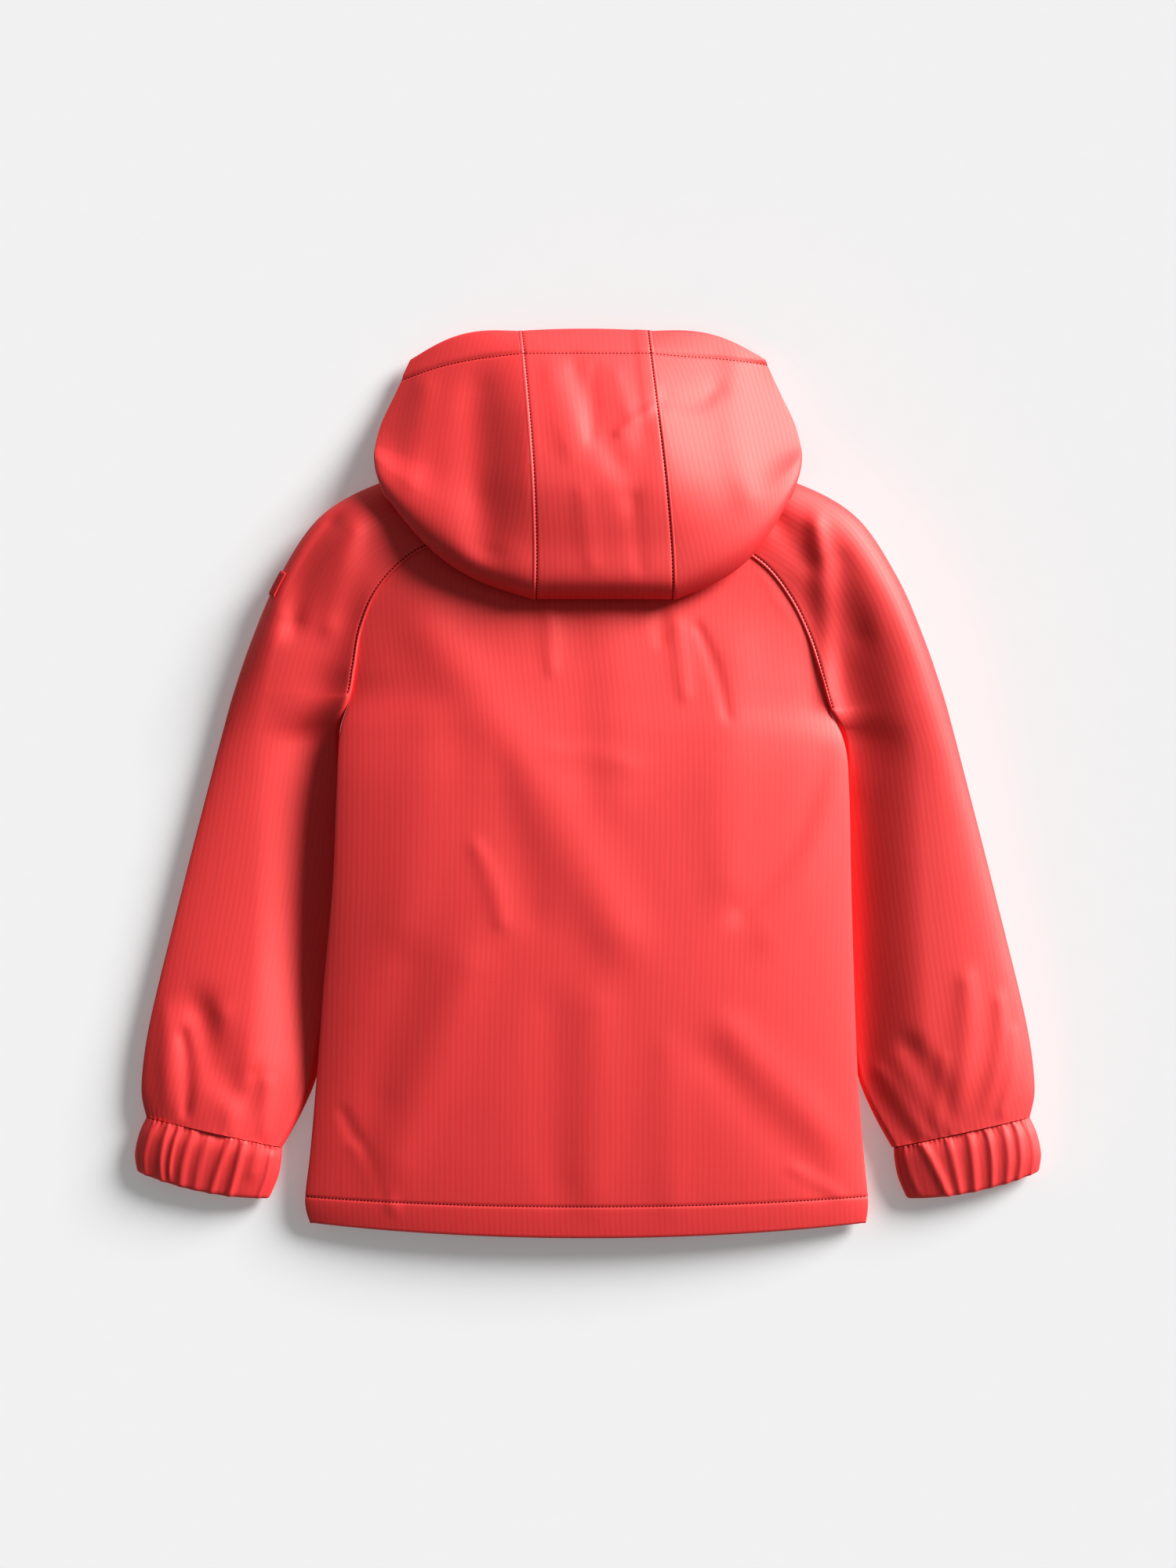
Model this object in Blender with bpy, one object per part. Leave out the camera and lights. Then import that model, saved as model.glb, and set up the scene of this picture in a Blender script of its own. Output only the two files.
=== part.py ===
"""Kids softshell jacket, age 3 to 4, laid face down with its hood spread up over the yoke.

Sizes in the tables are millimetres. The frame is +X to the right, +Y from hem to hood and +Z up from the surface
that the jacket lies on, with the origin under the middle of its outline. Left and right are as seen from above.
"""
import math

import bmesh
import bpy
import numpy as np
from mathutils import Matrix

MM = 0.001
CLOTH = 1.6  # thickness of the softshell
SEAM_GAP = 0.3  # between two pieces that are sewn together

# Body: a row for each section from hem to back neck. The edges are the side seams up to UNDERARM and the back
# raglan seams above it. mid_y and front_y are where the row crosses the middle of the back and of the front,
# crest is the height there, and fullness is low where the cloth rolls over an edge and 1 where it runs on flat.
UNDERARM, NECK = 8, 14
BODY_COLUMNS = "left_x left_y left_z right_x right_y right_z mid_y front_y crest fullness"
BODY_ROWS = (
    (-177.5, -281, 9.0, 177.5, -281, 8.5, -290, -283, 19.0, 0.7),
    (-180.5, -266, 12.0, 178.8, -266, 10.5, -272, -267, 22.5, 0.7),
    (-177.0, -235, 15.5, 175.8, -235, 12.5, -239, -235, 27.5, 0.75),
    (-173.0, -190, 19.0, 172.2, -190, 15.5, -192, -190, 33.0, 0.8),
    (-168.3, -130, 24.0, 169.6, -130, 18.5, -131, -130, 38.0, 0.8),
    (-162.2, -65, 29.5, 167.6, -65, 20.5, -65, -65, 41.5, 0.8),
    (-159.6, -5, 30.5, 166.2, -5, 21.5, -5, -5, 43.0, 0.8),
    (-157.5, 32, 27.5, 163.6, 24, 21.0, 30, 28, 42.0, 0.8),
    (-150.5, 56, 25.0, 154.0, 46, 20.0, 54, 46, 40.5, 0.85),
    (-147.5, 74, 25.5, 147.0, 69, 21.5, 75, 66, 39.0, 0.9),
    (-143.5, 98, 26.5, 139.0, 94, 24.0, 97, 84, 37.0, 1.0),
    (-133.0, 122, 28.5, 127.5, 117, 26.5, 118, 100, 34.0, 1.0),
    (-112.5, 143, 28.5, 110.5, 138, 28.0, 137, 114, 31.5, 1.0),
    (-84.0, 157, 28.5, 83.0, 155, 28.5, 152, 127, 30.0, 1.0),
    (-52.0, 169, 28.0, 52.0, 168, 28.0, 165, 138, 28.5, 1.0),
)
DOME = 2.5  # how square the back's section is: 2 is a parabola
FRONT_RAGLAN_COLUMNS = "left_x left_y left_z right_x right_y right_z"
FRONT_RAGLAN_ROWS = (
    (-150.5, 56, 25.0, 154.0, 46, 20.0),
    (-147.5, 73, 8.0, 147.5, 68, 7.5),
    (-142.5, 94, 0.8, 139.0, 90, 0.8),
    (-131.5, 114, 0.0, 127.5, 110, 0.0),
    (-111.0, 131, 0.0, 109.5, 127, 0.0),
    (-82.0, 143, 0.0, 82.0, 141, 0.0),
    (-50.0, 151, 0.0, 50.0, 151, 0.0),
)
SIDE_ROLL = 21.0  # how far the front runs in from the side seam before it lies flat

# Sleeve: a row for each section from the neck edge to the cuff seam, at right (the left one is its mirror). out is
# the fold along the outer side, crest the highest point and crest_at its place from the inner edge to the fold,
# roll the height gained at once at the inner edge.
SLEEVE_COLUMNS = "out_x out_y left_z left_crest left_at left_roll right_z right_crest right_at right_roll dip"
SLEEVE_ROWS = (
    (66.0, 200.0, 15.0, 28.2, 0.30, 0.6, 15.0, 28.2, 0.30, 0.6, 0.0),
    (101.0, 197.5, 15.0, 29.8, 0.38, 0.8, 15.0, 29.8, 0.38, 0.8, 0.0),
    (135.5, 190.3, 15.0, 31.0, 0.46, 1.0, 15.0, 31.0, 0.46, 1.0, 0.0),
    (171.3, 169.3, 15.0, 30.5, 0.56, 1.0, 15.5, 32.0, 0.58, 1.0, 0.5),
    (197.0, 131.5, 14.5, 27.5, 0.68, 1.0, 15.5, 32.0, 0.70, 1.2, 3.0),
    (213.7, 93.5, 13.5, 24.5, 0.76, 3.0, 15.0, 31.0, 0.76, 3.0, 4.5),
    (226.0, 58.0, 12.5, 22.5, 0.72, 4.0, 14.5, 29.5, 0.70, 4.0, 5.0),
    (233.5, 31.0, 12.0, 21.0, 0.68, 6.0, 14.5, 28.5, 0.64, 5.0, 3.5),
    (240.8, 3.0, 12.0, 20.0, 0.64, 7.5, 14.0, 27.5, 0.57, 3.0, 1.0),
    (247.8, -24.0, 12.0, 20.0, 0.59, 8.0, 14.0, 26.5, 0.52, 3.0, 0.5),
    (254.5, -50.0, 12.0, 20.0, 0.54, 8.0, 13.5, 26.0, 0.48, 3.0, 0.5),
    (261.0, -76.0, 12.0, 20.5, 0.49, 8.0, 13.5, 26.0, 0.45, 3.0, 0.5),
    (267.8, -103.0, 12.0, 21.0, 0.45, 8.0, 13.0, 26.0, 0.42, 3.0, 0.5),
    (274.5, -130.0, 12.0, 21.5, 0.43, 7.5, 13.0, 25.5, 0.40, 3.0, 0.5),
    (280.2, -155.5, 12.0, 22.0, 0.42, 7.0, 12.5, 24.5, 0.39, 3.0, 0.0),
    (283.8, -178.0, 11.5, 22.0, 0.43, 6.5, 12.0, 23.5, 0.41, 3.5, 0.0),
    (285.0, -198.0, 11.0, 21.5, 0.46, 6.0, 11.5, 22.0, 0.45, 4.5, 0.0),
    (282.0, -213.0, 10.5, 20.5, 0.50, 5.5, 10.5, 20.5, 0.50, 5.5, 0.0),
)
DIP_NEAR = 0.65  # how near the inner edge the dip is: 1 is half way to the crest
SLEEVE_FALL = {-1: (1.8, 0.7), 1: (2.6, 0.5)}  # how it falls from its crest to the fold: 1, 1 is straight
SUNK_ROWS, SUNK = (5.5, 17.0), {-1: (3.5, 2.8), 1: (3.0, 0.9)}  # beside the body: its roll, how late it climbs
UNDERARM_BLEND = 1.3  # rows over which its edge leaves the raglan seam
ARMHOLE_ROWS = NECK - UNDERARM  # the sleeve's rows above the underarm, one for each raglan row
# Underarm seam of the sleeve below the underarm: how far it lies under the body's side, its place and its height.
UNDERARM_SEAM_COLUMNS = "tuck y z"
UNDERARM_SEAM_ROWS = (
    (-1.2, 33, 13.0),
    (1.5, 6, 9.5),
    (2.5, -22, 7.0),
    (3.0, -51, 5.5),
    (3.0, -80, 4.5),
    (3.0, -109, 4.5),
    (3.0, -138, 4.5),
    (2.0, -165, 4.8),
    (-1.0, -189, 5.5),
    (-9.0, -212, 7.0),
    (-18.5, -232.5, 8.5),
)
SLEEVE_ROLL = 17.0  # how far the underside runs in from the outer fold before it lies flat

# Cuff: a row for each section from its seam to its edge, at right. out and in are its two folds.
CUFF_COLUMNS = "out_x out_y in_x in_y mid_z height bow"
CUFF_ROWS = (
    (282.0, -213.3, 195.3, -232.8, 9.5, 19.0, 0.0),
    (286.8, -224.0, 195.8, -240.5, 9.0, 19.5, 0.0),
    (289.5, -237.0, 198.2, -252.0, 8.0, 17.5, 1.0),
    (288.0, -248.5, 204.0, -265.5, 7.0, 14.0, 4.0),
)
GATHERS = 24  # folds of elastic gathering around a cuff
GATHER_DEPTH = 1.3

# Hood: a row for each section from the face opening over the crown to the neck. seam is where the row crosses the
# seam between the centre and side panels, fold the hood's outline or the crease above the sleeve, drop, tip
# and under three points of the lower layer round the shoulder, and chin_y the row's end at the front edge. bow is how far the
# row swings out between seam and fold, and turn the radius of the cloth in the fold.
HOOD_COLUMNS = ("left_x right_x seam_y seam_z fold_x fold_y fold_z puff bow turn "
                "drop_x drop_y drop_z tip_x tip_y tip_z under_x under_y chin_y")
HOOD_ROWS = (
    (-44.5, 40.5, 288.5, 18.0, 112.5, 271.5, 9.0, 0.5, 7.0, 4.5, 101, 253.0, 0.0, 80, 238.0, 0.0, 58, 224, 173),
    (-42.5, 42.5, 270.0, 31.0, 122.5, 249.5, 11.0, 0.5, 4.0, 5.0, 109, 243.0, 0.5, 90, 232.0, 0.0, 62, 220, 171),
    (-38.8, 47.0, 230.5, 51.0, 131.5, 230.0, 14.0, 0.5, 0.0, 5.0, 115, 234.0, 1.0, 96, 228.0, 0.0, 64, 216, 169),
    (-36.0, 51.5, 190.0, 60.0, 135.2, 216.0, 19.0, 0.5, -3.0, 5.0, 119, 227.5, 2.5, 98, 223.5, 0.0, 64, 212, 167),
    (-34.8, 55.0, 150.0, 56.5, 136.0, 206.0, 25.0, 0.0, -7.0, 5.0, 119, 221.5, 6.0, 96, 219.0, 0.5, 62, 208, 164),
    (-35.0, 56.0, 125.5, 53.0, 133.5, 194.0, 32.0, 0.0, -10.5, 5.0, 116, 216.5, 13.0, 91, 215.0, 2.0, 59, 204, 161),
    (-35.3, 55.8, 116.3, 40.5, 126.5, 180.0, 37.0, 1.0, -12.0, 4.0, 109, 212.0, 22.0, 85, 212.0, 5.0, 55, 199, 157),
    (-36.0, 55.0, 124.0, 34.0, 111.0, 170.0, 32.8, 0.0, -9.0, 0.0, 100, 204.0, 29.0, 79, 209.5, 9.0, 51, 194, 153),
    (-40.0, 51.0, 142.0, 33.3, 87.0, 167.0, 32.4, 0.0, 0.0, 0.0, 87, 196.0, 30.0, 73, 207.0, 12.5, 47, 187, 149),
)
# How a side panel falls from its seam to its fold, over the crown and near the neck: 1, 1 is straight.
CROWN_SLOPE, NECK_SLOPE = (1.05, 0.95), (2.0, 0.65)
HOOD_KNOTS = (0.0, 1.0, 1.2, 1.4, 1.6, 2.0)  # around a side panel: seam, fold, drop, tip, under, front edge
HOOD_SEAM_X = 45.0  # where the hood's two seams meet the back neckline
# The hood's last rows follow the neck seam. Behind, the hood lies folded back on the garment: how far each row is
# behind the seam and above the cloth. In front it runs straight on, and over the shoulder it stands off.
NECK_BACK, NECK_RISE, NECK_AHEAD, NECK_OFF = (11.0, 5.5, 0.2), (4.6, 2.0, 0.5), (8.0, 4.0, 0.4), (5.0, 2.6, 0.5)

# Zip: its tape lies inside the front edges, its chain between them. The slider is at the top, where the cloth
# lies over it, lifted off the surface.
FRONT_EDGE = 5.0  # from the middle to each front edge
TAPE_HALF = 13.0
TAPE = 1.0
CHAIN_HALF = 2.8
CHAIN_LOW = 0.4
ZIP_BOTTOM, ZIP_TOP = -281.0, 171.0
LIFT = 6.6
LIFT_FULL_Y, LIFT_END_Y = (128.0, 176.0), (84.0, 214.0)
LIFT_FULL_X, LIFT_END_X = 15.0, 48.0
SLIDER_Y = 163.0
SLIDER = (8.4, 11.0, 2.0)
PULL_AXIS_Z = 2.75
PULL_LENGTH, PULL_WIDTH, PULL_THICK = 25.0, 7.0, 1.3
PIN_RADIUS, EYE_RADIUS = 0.6, 1.0
BRIDGE_HALF = 1.1
BRIDGE_WALL = 0.8

# Sleeve patch: a small bare cloth patch sewn round the outer fold of the left sleeve.
PATCH_ROWS = (3.9, 4.3)  # along the sleeve, in rows of its table
PATCH_AROUND = (0.94, 1.13)  # around it, 1 at the outer fold
PATCH, PATCH_OFF = 1.1, 0.35

# Main folds of the upper side, each a soft ridge (height above 0) or trough along a line on plan.
FOLD_COLUMNS = "x0 y0 x1 y1 bend width height"
FOLD_ROWS = (
    (-164, 164, -187, 104, -4, 11, -3.2),
    (-148, 158, -164, 102, 0, 9, 1.4),
    (-246, -148, -228, -196, 0, 14, -3.2),
    (-272, -146, -268, -204, 0, 8, 1.4),
    (145, 162, 152, 56, 2, 8, 2.4),
    (120, 166, 142, 140, 0, 11, -2.2),
    (160, 140, 172, 96, 0, 12, -2.0),
    (206, -170, 230, -212, 0, 10, -2.4),
    (241, -128, 235, -204, 3, 9, 1.5),
    (263, -140, 254, -204, 4, 7, 1.3),
    (-98, 92, 16, -90, 4, 23, 2.0),
    (-54, 6, -36, -80, 0, 15, -0.8),
    (-102, 34, -118, -86, 3, 20, 0.8),
    (9, 108, 18, -6, 2, 20, 0.7),
    (-5, 102, 0, 10, 0, 18, -0.5),
    (94, 74, 88, -56, -4, 20, 1.1),
    (153, 14, 98, -80, 6, 10, -1.5),
    (166, -6, 116, -94, 5, 14, 0.9),
    (-78, -120, -122, -236, 0, 20, 1.5),
    (-114, -118, -132, -196, 0, 20, -0.9),
    (5, -146, 3, -256, 0, 17, 0.9),
    (-24, -148, -20, -250, 0, 17, -0.7),
    (94, -160, 160, -226, -3, 15, 1.2),
    (80, -178, 146, -250, 0, 15, -0.8),
    (50, -172, 53, -262, 0, 13, 0.5),
)
HOOD_FOLD_ROWS = (
    (-8, 259, 17, 204, 0, 11, -1.4),
    (34, 218, 28, 182, 0, 12, -1.2),
    (-22, 258, -12, 214, 0, 10, 1.2),
    (-76, 238, -70, 184, 0, 13, -0.8),
    (50, 243, 80, 250, -6, 8, -1.2),
    (95, 262, 100, 185, -3, 13, 1.5),
    (-104, 250, -112, 196, 0, 11, 1.2),
)

CORAL = (0.80, 0.085, 0.075, 1.0)
CORAL_ZIP = (0.62, 0.06, 0.055, 1.0)
CORAL_PATCH = (0.70, 0.07, 0.065, 1.0)
GUNMETAL = (0.22, 0.22, 0.23, 1.0)


# ---------------------------------------------------------------- numbers

class Table:
    """Rows of numbers under named columns, read at any row position on a smooth curve through them."""

    def __init__(self, columns, rows):
        self.columns = columns.split()
        self.rows = np.array(rows, float)

    def __call__(self, at):
        last = len(self.rows) - 1
        at = np.clip(np.asarray(at, float), 0, last)
        i = np.minimum(at.astype(int), last - 1)
        f = (at - i)[..., None]
        before, this = self.rows[np.maximum(i - 1, 0)], self.rows[i]
        following, after = self.rows[i + 1], self.rows[np.minimum(i + 2, last)]
        value = this + 0.5 * f * (following - before + f * (
            2 * before - 5 * this + 4 * following - after
            + f * (3 * this - before - 3 * following + after)))
        return {name: value[..., n] for n, name in enumerate(self.columns)}


BODY = Table(BODY_COLUMNS, BODY_ROWS)
FRONT_RAGLAN = Table(FRONT_RAGLAN_COLUMNS, FRONT_RAGLAN_ROWS)
SLEEVE = Table(SLEEVE_COLUMNS, SLEEVE_ROWS)
UNDERARM_SEAM = Table(UNDERARM_SEAM_COLUMNS, UNDERARM_SEAM_ROWS)
CUFF = Table(CUFF_COLUMNS, CUFF_ROWS)
HOOD = Table(HOOD_COLUMNS, HOOD_ROWS)
FOLDS = Table(FOLD_COLUMNS, FOLD_ROWS)
HOOD_FOLDS = Table(FOLD_COLUMNS, HOOD_FOLD_ROWS)


def smooth_step(x):
    x = np.clip(x, 0.0, 1.0)
    return x * x * (3 - 2 * x)


def quarter_round(x):
    """0 to 1 along a quarter circle that starts upright, and 1 after it."""
    return np.sqrt(np.maximum(0.0, 1 - (1 - np.clip(x, 0.0, 1.0)) ** 2))


def between(a, b, t):
    return a + (b - a) * t


def points(x, y, z):
    return np.stack(np.broadcast_arrays(x, y, z), axis=-1).astype(float)


def zip_lift(x, y):
    """How far the front is lifted off the surface by the slider and its pull."""
    along = smooth_step((y - LIFT_END_Y[0]) / (LIFT_FULL_Y[0] - LIFT_END_Y[0]))
    along = along * smooth_step((LIFT_END_Y[1] - y) / (LIFT_END_Y[1] - LIFT_FULL_Y[1]))
    return LIFT * along * smooth_step((LIFT_END_X - np.abs(x)) / (LIFT_END_X - LIFT_FULL_X))


def relief(folds, x, y):
    """The height that a table of folds adds at places on plan: soft lines that bow to their left by bend."""
    height = np.zeros(np.shape(x))
    for n in range(len(folds.rows)):
        fold = folds(n)
        run_x, run_y = fold["x1"] - fold["x0"], fold["y1"] - fold["y0"]
        length = np.hypot(run_x, run_y)
        along = ((x - fold["x0"]) * run_x + (y - fold["y0"]) * run_y) / length ** 2
        aside = ((y - fold["y0"]) * run_x - (x - fold["x0"]) * run_y) / length
        held = np.clip(along, 0, 1)
        aside = aside - fold["bend"] * 4 * held * (1 - held)
        beyond = np.abs(along - held) * length
        width = fold["width"] * (0.75 + 0.25 * np.sin(math.pi * held))
        height = height + fold["height"] * np.exp(-(aside / width) ** 2 - (beyond / (1.4 * width)) ** 2)
    return height


# ---------------------------------------------------------------- surfaces

def side_point(row, side, front=False):
    """A point of the left (-1) or right (1) edge of the body: its side seam, and its raglan seam above that."""
    name = "left" if side < 0 else "right"
    row = np.asarray(row, float)
    edge = BODY(row)
    x, y, z = (edge[name + axis] for axis in ("_x", "_y", "_z"))
    if front:
        raglan = FRONT_RAGLAN(row - UNDERARM)
        above = row > UNDERARM
        x = np.where(above, raglan[name + "_x"], x)
        y = np.where(above, raglan[name + "_y"], y)
        z = np.where(above, raglan[name + "_z"], z)
    return points(x, y, np.maximum(z, 0.0))


def back_surface(row, across):
    """The outside of the back panel: row from hem to neck, across from the left edge (0) to the right (1)."""
    left, right, section = side_point(row, -1), side_point(row, 1), BODY(row)
    edge = between(left, right, across[..., None])
    bow = section["mid_y"] - (left[..., 1] + right[..., 1]) / 2
    rise = section["crest"] - (left[..., 2] + right[..., 2]) / 2
    dome = np.maximum(0.0, 1 - np.abs(2 * across - 1) ** DOME) ** section["fullness"]
    edge[..., 1] += bow * 4 * across * (1 - across)
    edge[..., 2] += rise * dome
    in_from_side = between(1.0, smooth_step(np.minimum(across, 1 - across) * 10), smooth_step(UNDERARM - row))
    edge[..., 2] += relief(FOLDS, edge[..., 0], edge[..., 1]) * in_from_side
    return edge


def front_surface(row, across, side):
    """The outside of one front: across from its side or raglan edge (0) to its front edge (1)."""
    outer, section = side_point(row, side, front=True), BODY(row)
    x = between(outer[..., 0], side * FRONT_EDGE, across)
    y = between(outer[..., 1], section["front_y"], smooth_step(across) * 0.5 + across * 0.5)
    run_in = np.abs(x - outer[..., 0])
    z = outer[..., 2] * (1 - quarter_round(run_in / SIDE_ROLL)) + zip_lift(x, y)
    return points(x, y, z)


def sleeve_edges(row, side):
    """The two edges and the outer fold of a sleeve at a row: upper edge, fold, lower edge."""
    row = np.asarray(row, float)
    body_row = NECK - row
    upper, lower = side_point(body_row, side), side_point(body_row, side, front=True)
    seam = UNDERARM_SEAM(row - ARMHOLE_ROWS - 1)
    start = side_point(UNDERARM, side)
    first = smooth_step((row - ARMHOLE_ROWS) / UNDERARM_BLEND)
    seam_y = between(start[1], seam["y"], first)
    name = "left" if side < 0 else "right"
    sides = BODY(np.linspace(0, UNDERARM, 60))
    side_x = np.interp(seam_y, sides[name + "_y"], sides[name + "_x"])
    seam_x = side_x - side * seam["tuck"] * first
    seam_z = between(start[2], seam["z"], first)
    under = points(seam_x, seam_y, seam_z)
    below = (row > ARMHOLE_ROWS)[..., None]
    out = SLEEVE(row)
    fold = points(side * out["out_x"], out["out_y"], out[name + "_z"])
    return np.where(below, under, upper), fold, np.where(below, under, lower)


def sleeve_surface(row, around, side):
    """The outside of a sleeve: around from its upper edge (0) over the outer fold (1) to its lower edge (2)."""
    upper, fold, lower = sleeve_edges(row, side)
    section = SLEEVE(row)
    on_top = around <= 1
    t = np.where(on_top, around, 2 - around)
    inner = np.where(on_top[..., None], upper, lower)
    place = between(inner, fold, t[..., None])
    width = np.linalg.norm((fold - inner)[..., :2], axis=-1)
    from_edge, from_fold = t * width, (1 - t) * width
    name = "left" if side < 0 else "right"
    crest, crest_at, roll = (section[name + part] for part in ("_crest", "_at", "_roll"))
    sunk = smooth_step((row - SUNK_ROWS[0]) / 2.5) * smooth_step((SUNK_ROWS[1] - row) / 3)
    roll, climb = between(roll, SUNK[side][0], sunk), between(0.9, SUNK[side][1], sunk)
    rise = inner[..., 2] + roll * quarter_round(from_edge / np.maximum(roll, 2.0))
    rise = rise + (crest - inner[..., 2] - roll) * smooth_step(t / crest_at) ** climb
    rise = rise - section["dip"] * np.sin(math.pi * np.clip(t / crest_at, 0, 1) ** DIP_NEAR) ** 2
    beyond = np.clip((t - crest_at) / (1 - crest_at), 0, 1)
    square, steep = SLEEVE_FALL[side]
    fall = fold[..., 2] + (crest - fold[..., 2]) * np.maximum(0, 1 - beyond ** square) ** steep
    top = np.where(t < crest_at, rise, fall)
    low_roll = np.maximum(inner[..., 2], 4.0)
    low = fold[..., 2] * (1 - quarter_round(from_fold / SLEEVE_ROLL))
    low = low + inner[..., 2] * (1 - quarter_round(from_edge / low_roll))
    in_from_edge = between(1.0, smooth_step(t * 6), smooth_step(row - ARMHOLE_ROWS)) * smooth_step((1 - t) * 6)
    top = top + relief(FOLDS, place[..., 0], place[..., 1]) * in_from_edge * smooth_step((17 - row) / 2)
    place[..., 2] = np.where(on_top, top, low)
    return place


def cuff_surface(row, around, side):
    """The outside of a cuff: around from its inner fold (0) over the top to its outer fold (0.5) and back (1)."""
    section = CUFF(row)
    across = -np.cos(2 * math.pi * around)  # -1 at the inner fold, 1 at the outer one
    on_top = around <= 0.5
    t = (across + 1) / 2
    x = side * between(section["in_x"], section["out_x"], t)
    y = between(section["in_y"], section["out_y"], t) - section["bow"] * (1 - across ** 2)
    arch = np.sqrt(np.maximum(0.0, 1 - np.abs(across) ** 3))
    floor = np.sqrt(np.maximum(0.0, 1 - np.abs(across) ** 8))
    top = section["mid_z"] + (section["height"] - section["mid_z"]) * arch
    low = section["mid_z"] - (section["mid_z"] - GATHER_DEPTH) * floor
    return points(x, y, np.where(on_top, top, low))


def curve(knots, rows, at):
    """Points at places `at` of a smooth curve through rows of points that lie at the given knots."""
    place = np.interp(at, knots, np.arange(len(knots)))
    i = np.clip(place.astype(int), 0, len(knots) - 2)
    f = (place - i)[..., None]
    take = np.take_along_axis

    def row_at(n):
        n = np.clip(n, 0, len(knots) - 1)
        return take(rows, np.broadcast_to(n[None, ..., None], (1,) + rows.shape[1:]), axis=0)[0]

    before, this, following, after = row_at(i - 1), row_at(i), row_at(i + 1), row_at(i + 2)
    return this + 0.5 * f * (following - before + f * (
        2 * before - 5 * this + 4 * following - after + f * (3 * this - before - 3 * following + after)))


def neck_edge(around, side):
    """The neck edge of the garment, from the hood's seam (0) past the shoulder (1.4) to the front edge (2)."""
    fine = np.linspace(0, 1, 41)
    width = BODY_ROWS[NECK][3] - BODY_ROWS[NECK][0]
    seam_at = (side * HOOD_SEAM_X - BODY_ROWS[NECK][0]) / width
    back = back_surface(np.full(41, float(NECK)), between(seam_at, 0.0 if side < 0 else 1.0, fine))
    sleeve = sleeve_surface(np.zeros(81), np.linspace(0, 2, 81), side)
    front = front_surface(np.full(41, float(NECK)), fine, side)
    path = np.concatenate((back, sleeve[1:], front[1:]))
    length = np.concatenate(([0.0], np.cumsum(np.linalg.norm(np.diff(path, axis=0), axis=1))))
    shoulder, end = length[80], length[-1]
    stops = (0.0, 0.6 * shoulder, 0.85 * shoulder, shoulder, between(shoulder, end, 0.3), end)
    along = np.interp(around, HOOD_KNOTS, stops)
    return np.stack([np.interp(along, length, path[:, axis]) for axis in range(3)], axis=-1)


def neck_rows(edge, ahead_way, level, shoulder, side):
    """The hood's last rows. level is 1 where it is folded back and 0 where it runs on, shoulder 1 between them."""
    rows = []
    for back, rise, ahead, off in zip(NECK_BACK, NECK_RISE, NECK_AHEAD, NECK_OFF):
        reach = between(ahead, -back, level) * (1 - shoulder)
        aside = points(side * 0.3 * off * shoulder, 0.95 * off * shoulder, rise * level * (1 - shoulder))
        rows.append(edge + ahead_way * reach[..., None] + aside)
    return rows


def hood_rows_side(around, side):
    """Control rows of a hood side panel, at the given places from its seam (0) to its front edge (2)."""
    table = HOOD(np.arange(len(HOOD_ROWS)))
    name = "left" if side < 0 else "right"
    t = np.clip(around, 0, 1)
    rows = []
    for n in range(len(HOOD_ROWS)):
        row = {key: value[n] for key, value in table.items()}
        seam = points(row[name + "_x"], row["seam_y"], row["seam_z"])
        fold = points(side * row["fold_x"], row["fold_y"], row["fold_z"])
        drop = points(side * row["drop_x"], row["drop_y"], row["drop_z"])
        tip = points(side * row["tip_x"], row["tip_y"], row["tip_z"])
        under = points(side * row["under_x"], row["under_y"], 0.0)
        chin = points(side * FRONT_EDGE, row["chin_y"], 0.0)
        top = between(seam, fold, t[..., None])
        out = np.array((seam[1] - fold[1], fold[0] - seam[0])) * side
        out = out / np.linalg.norm(out) * row["bow"]
        top[..., 0] += out[0] * np.sin(math.pi * t)
        top[..., 1] += out[1] * np.sin(math.pi * t)
        fall = seam[2] - fold[2]
        near_neck = smooth_step((n - 2.5) / 2)
        square, steep = (between(a, b, near_neck) for a, b in zip(CROWN_SLOPE, NECK_SLOPE))
        rise = fall * np.maximum(0.0, 1 - t ** square) ** steep
        top[..., 2] = fold[2] + rise + row["puff"] * np.sin(math.pi * t)
        inward = (drop - fold) * np.array((1.0, 1.0, 0.0))
        inward = inward / np.linalg.norm(inward) * row["turn"] * 0.7
        turn, round_it = np.array((0.0, 0.0, row["turn"])), min(1.0, row["turn"] / 4)
        before = between(between(fold, seam, 0.2), fold + inward + turn, round_it)
        after = between(between(fold, drop, 0.35), fold + inward - turn, round_it)
        stops = (before, fold, after, drop, tip, under, chin)
        stops = np.stack([np.broadcast_to(p, around.shape + (3,)) for p in stops])
        low = curve((0.9, 1.0, 1.1) + HOOD_KNOTS[2:], stops, around)
        low[..., 2] += zip_lift(low[..., 0], low[..., 1]) * smooth_step(around * 4 - 6)
        rows.append(np.where((around <= 1)[..., None], top, low))
    edge = neck_edge(around, side)
    step = neck_edge(np.minimum(around + 0.02, 2.0), side) - neck_edge(np.maximum(around - 0.02, 0.0), side)
    turned = np.where(around <= HOOD_KNOTS[3], -side, side)
    way = points(turned * step[..., 1], -turned * step[..., 0], 0.0)
    way = way / np.maximum(np.linalg.norm(way, axis=-1, keepdims=True), 1e-9)
    level = 1 - smooth_step((around - 1.1) / 0.3)
    shoulder = np.exp(-((around - HOOD_KNOTS[3]) / 0.08) ** 2)
    return np.stack(rows + neck_rows(edge, way, level, shoulder, side))


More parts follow.
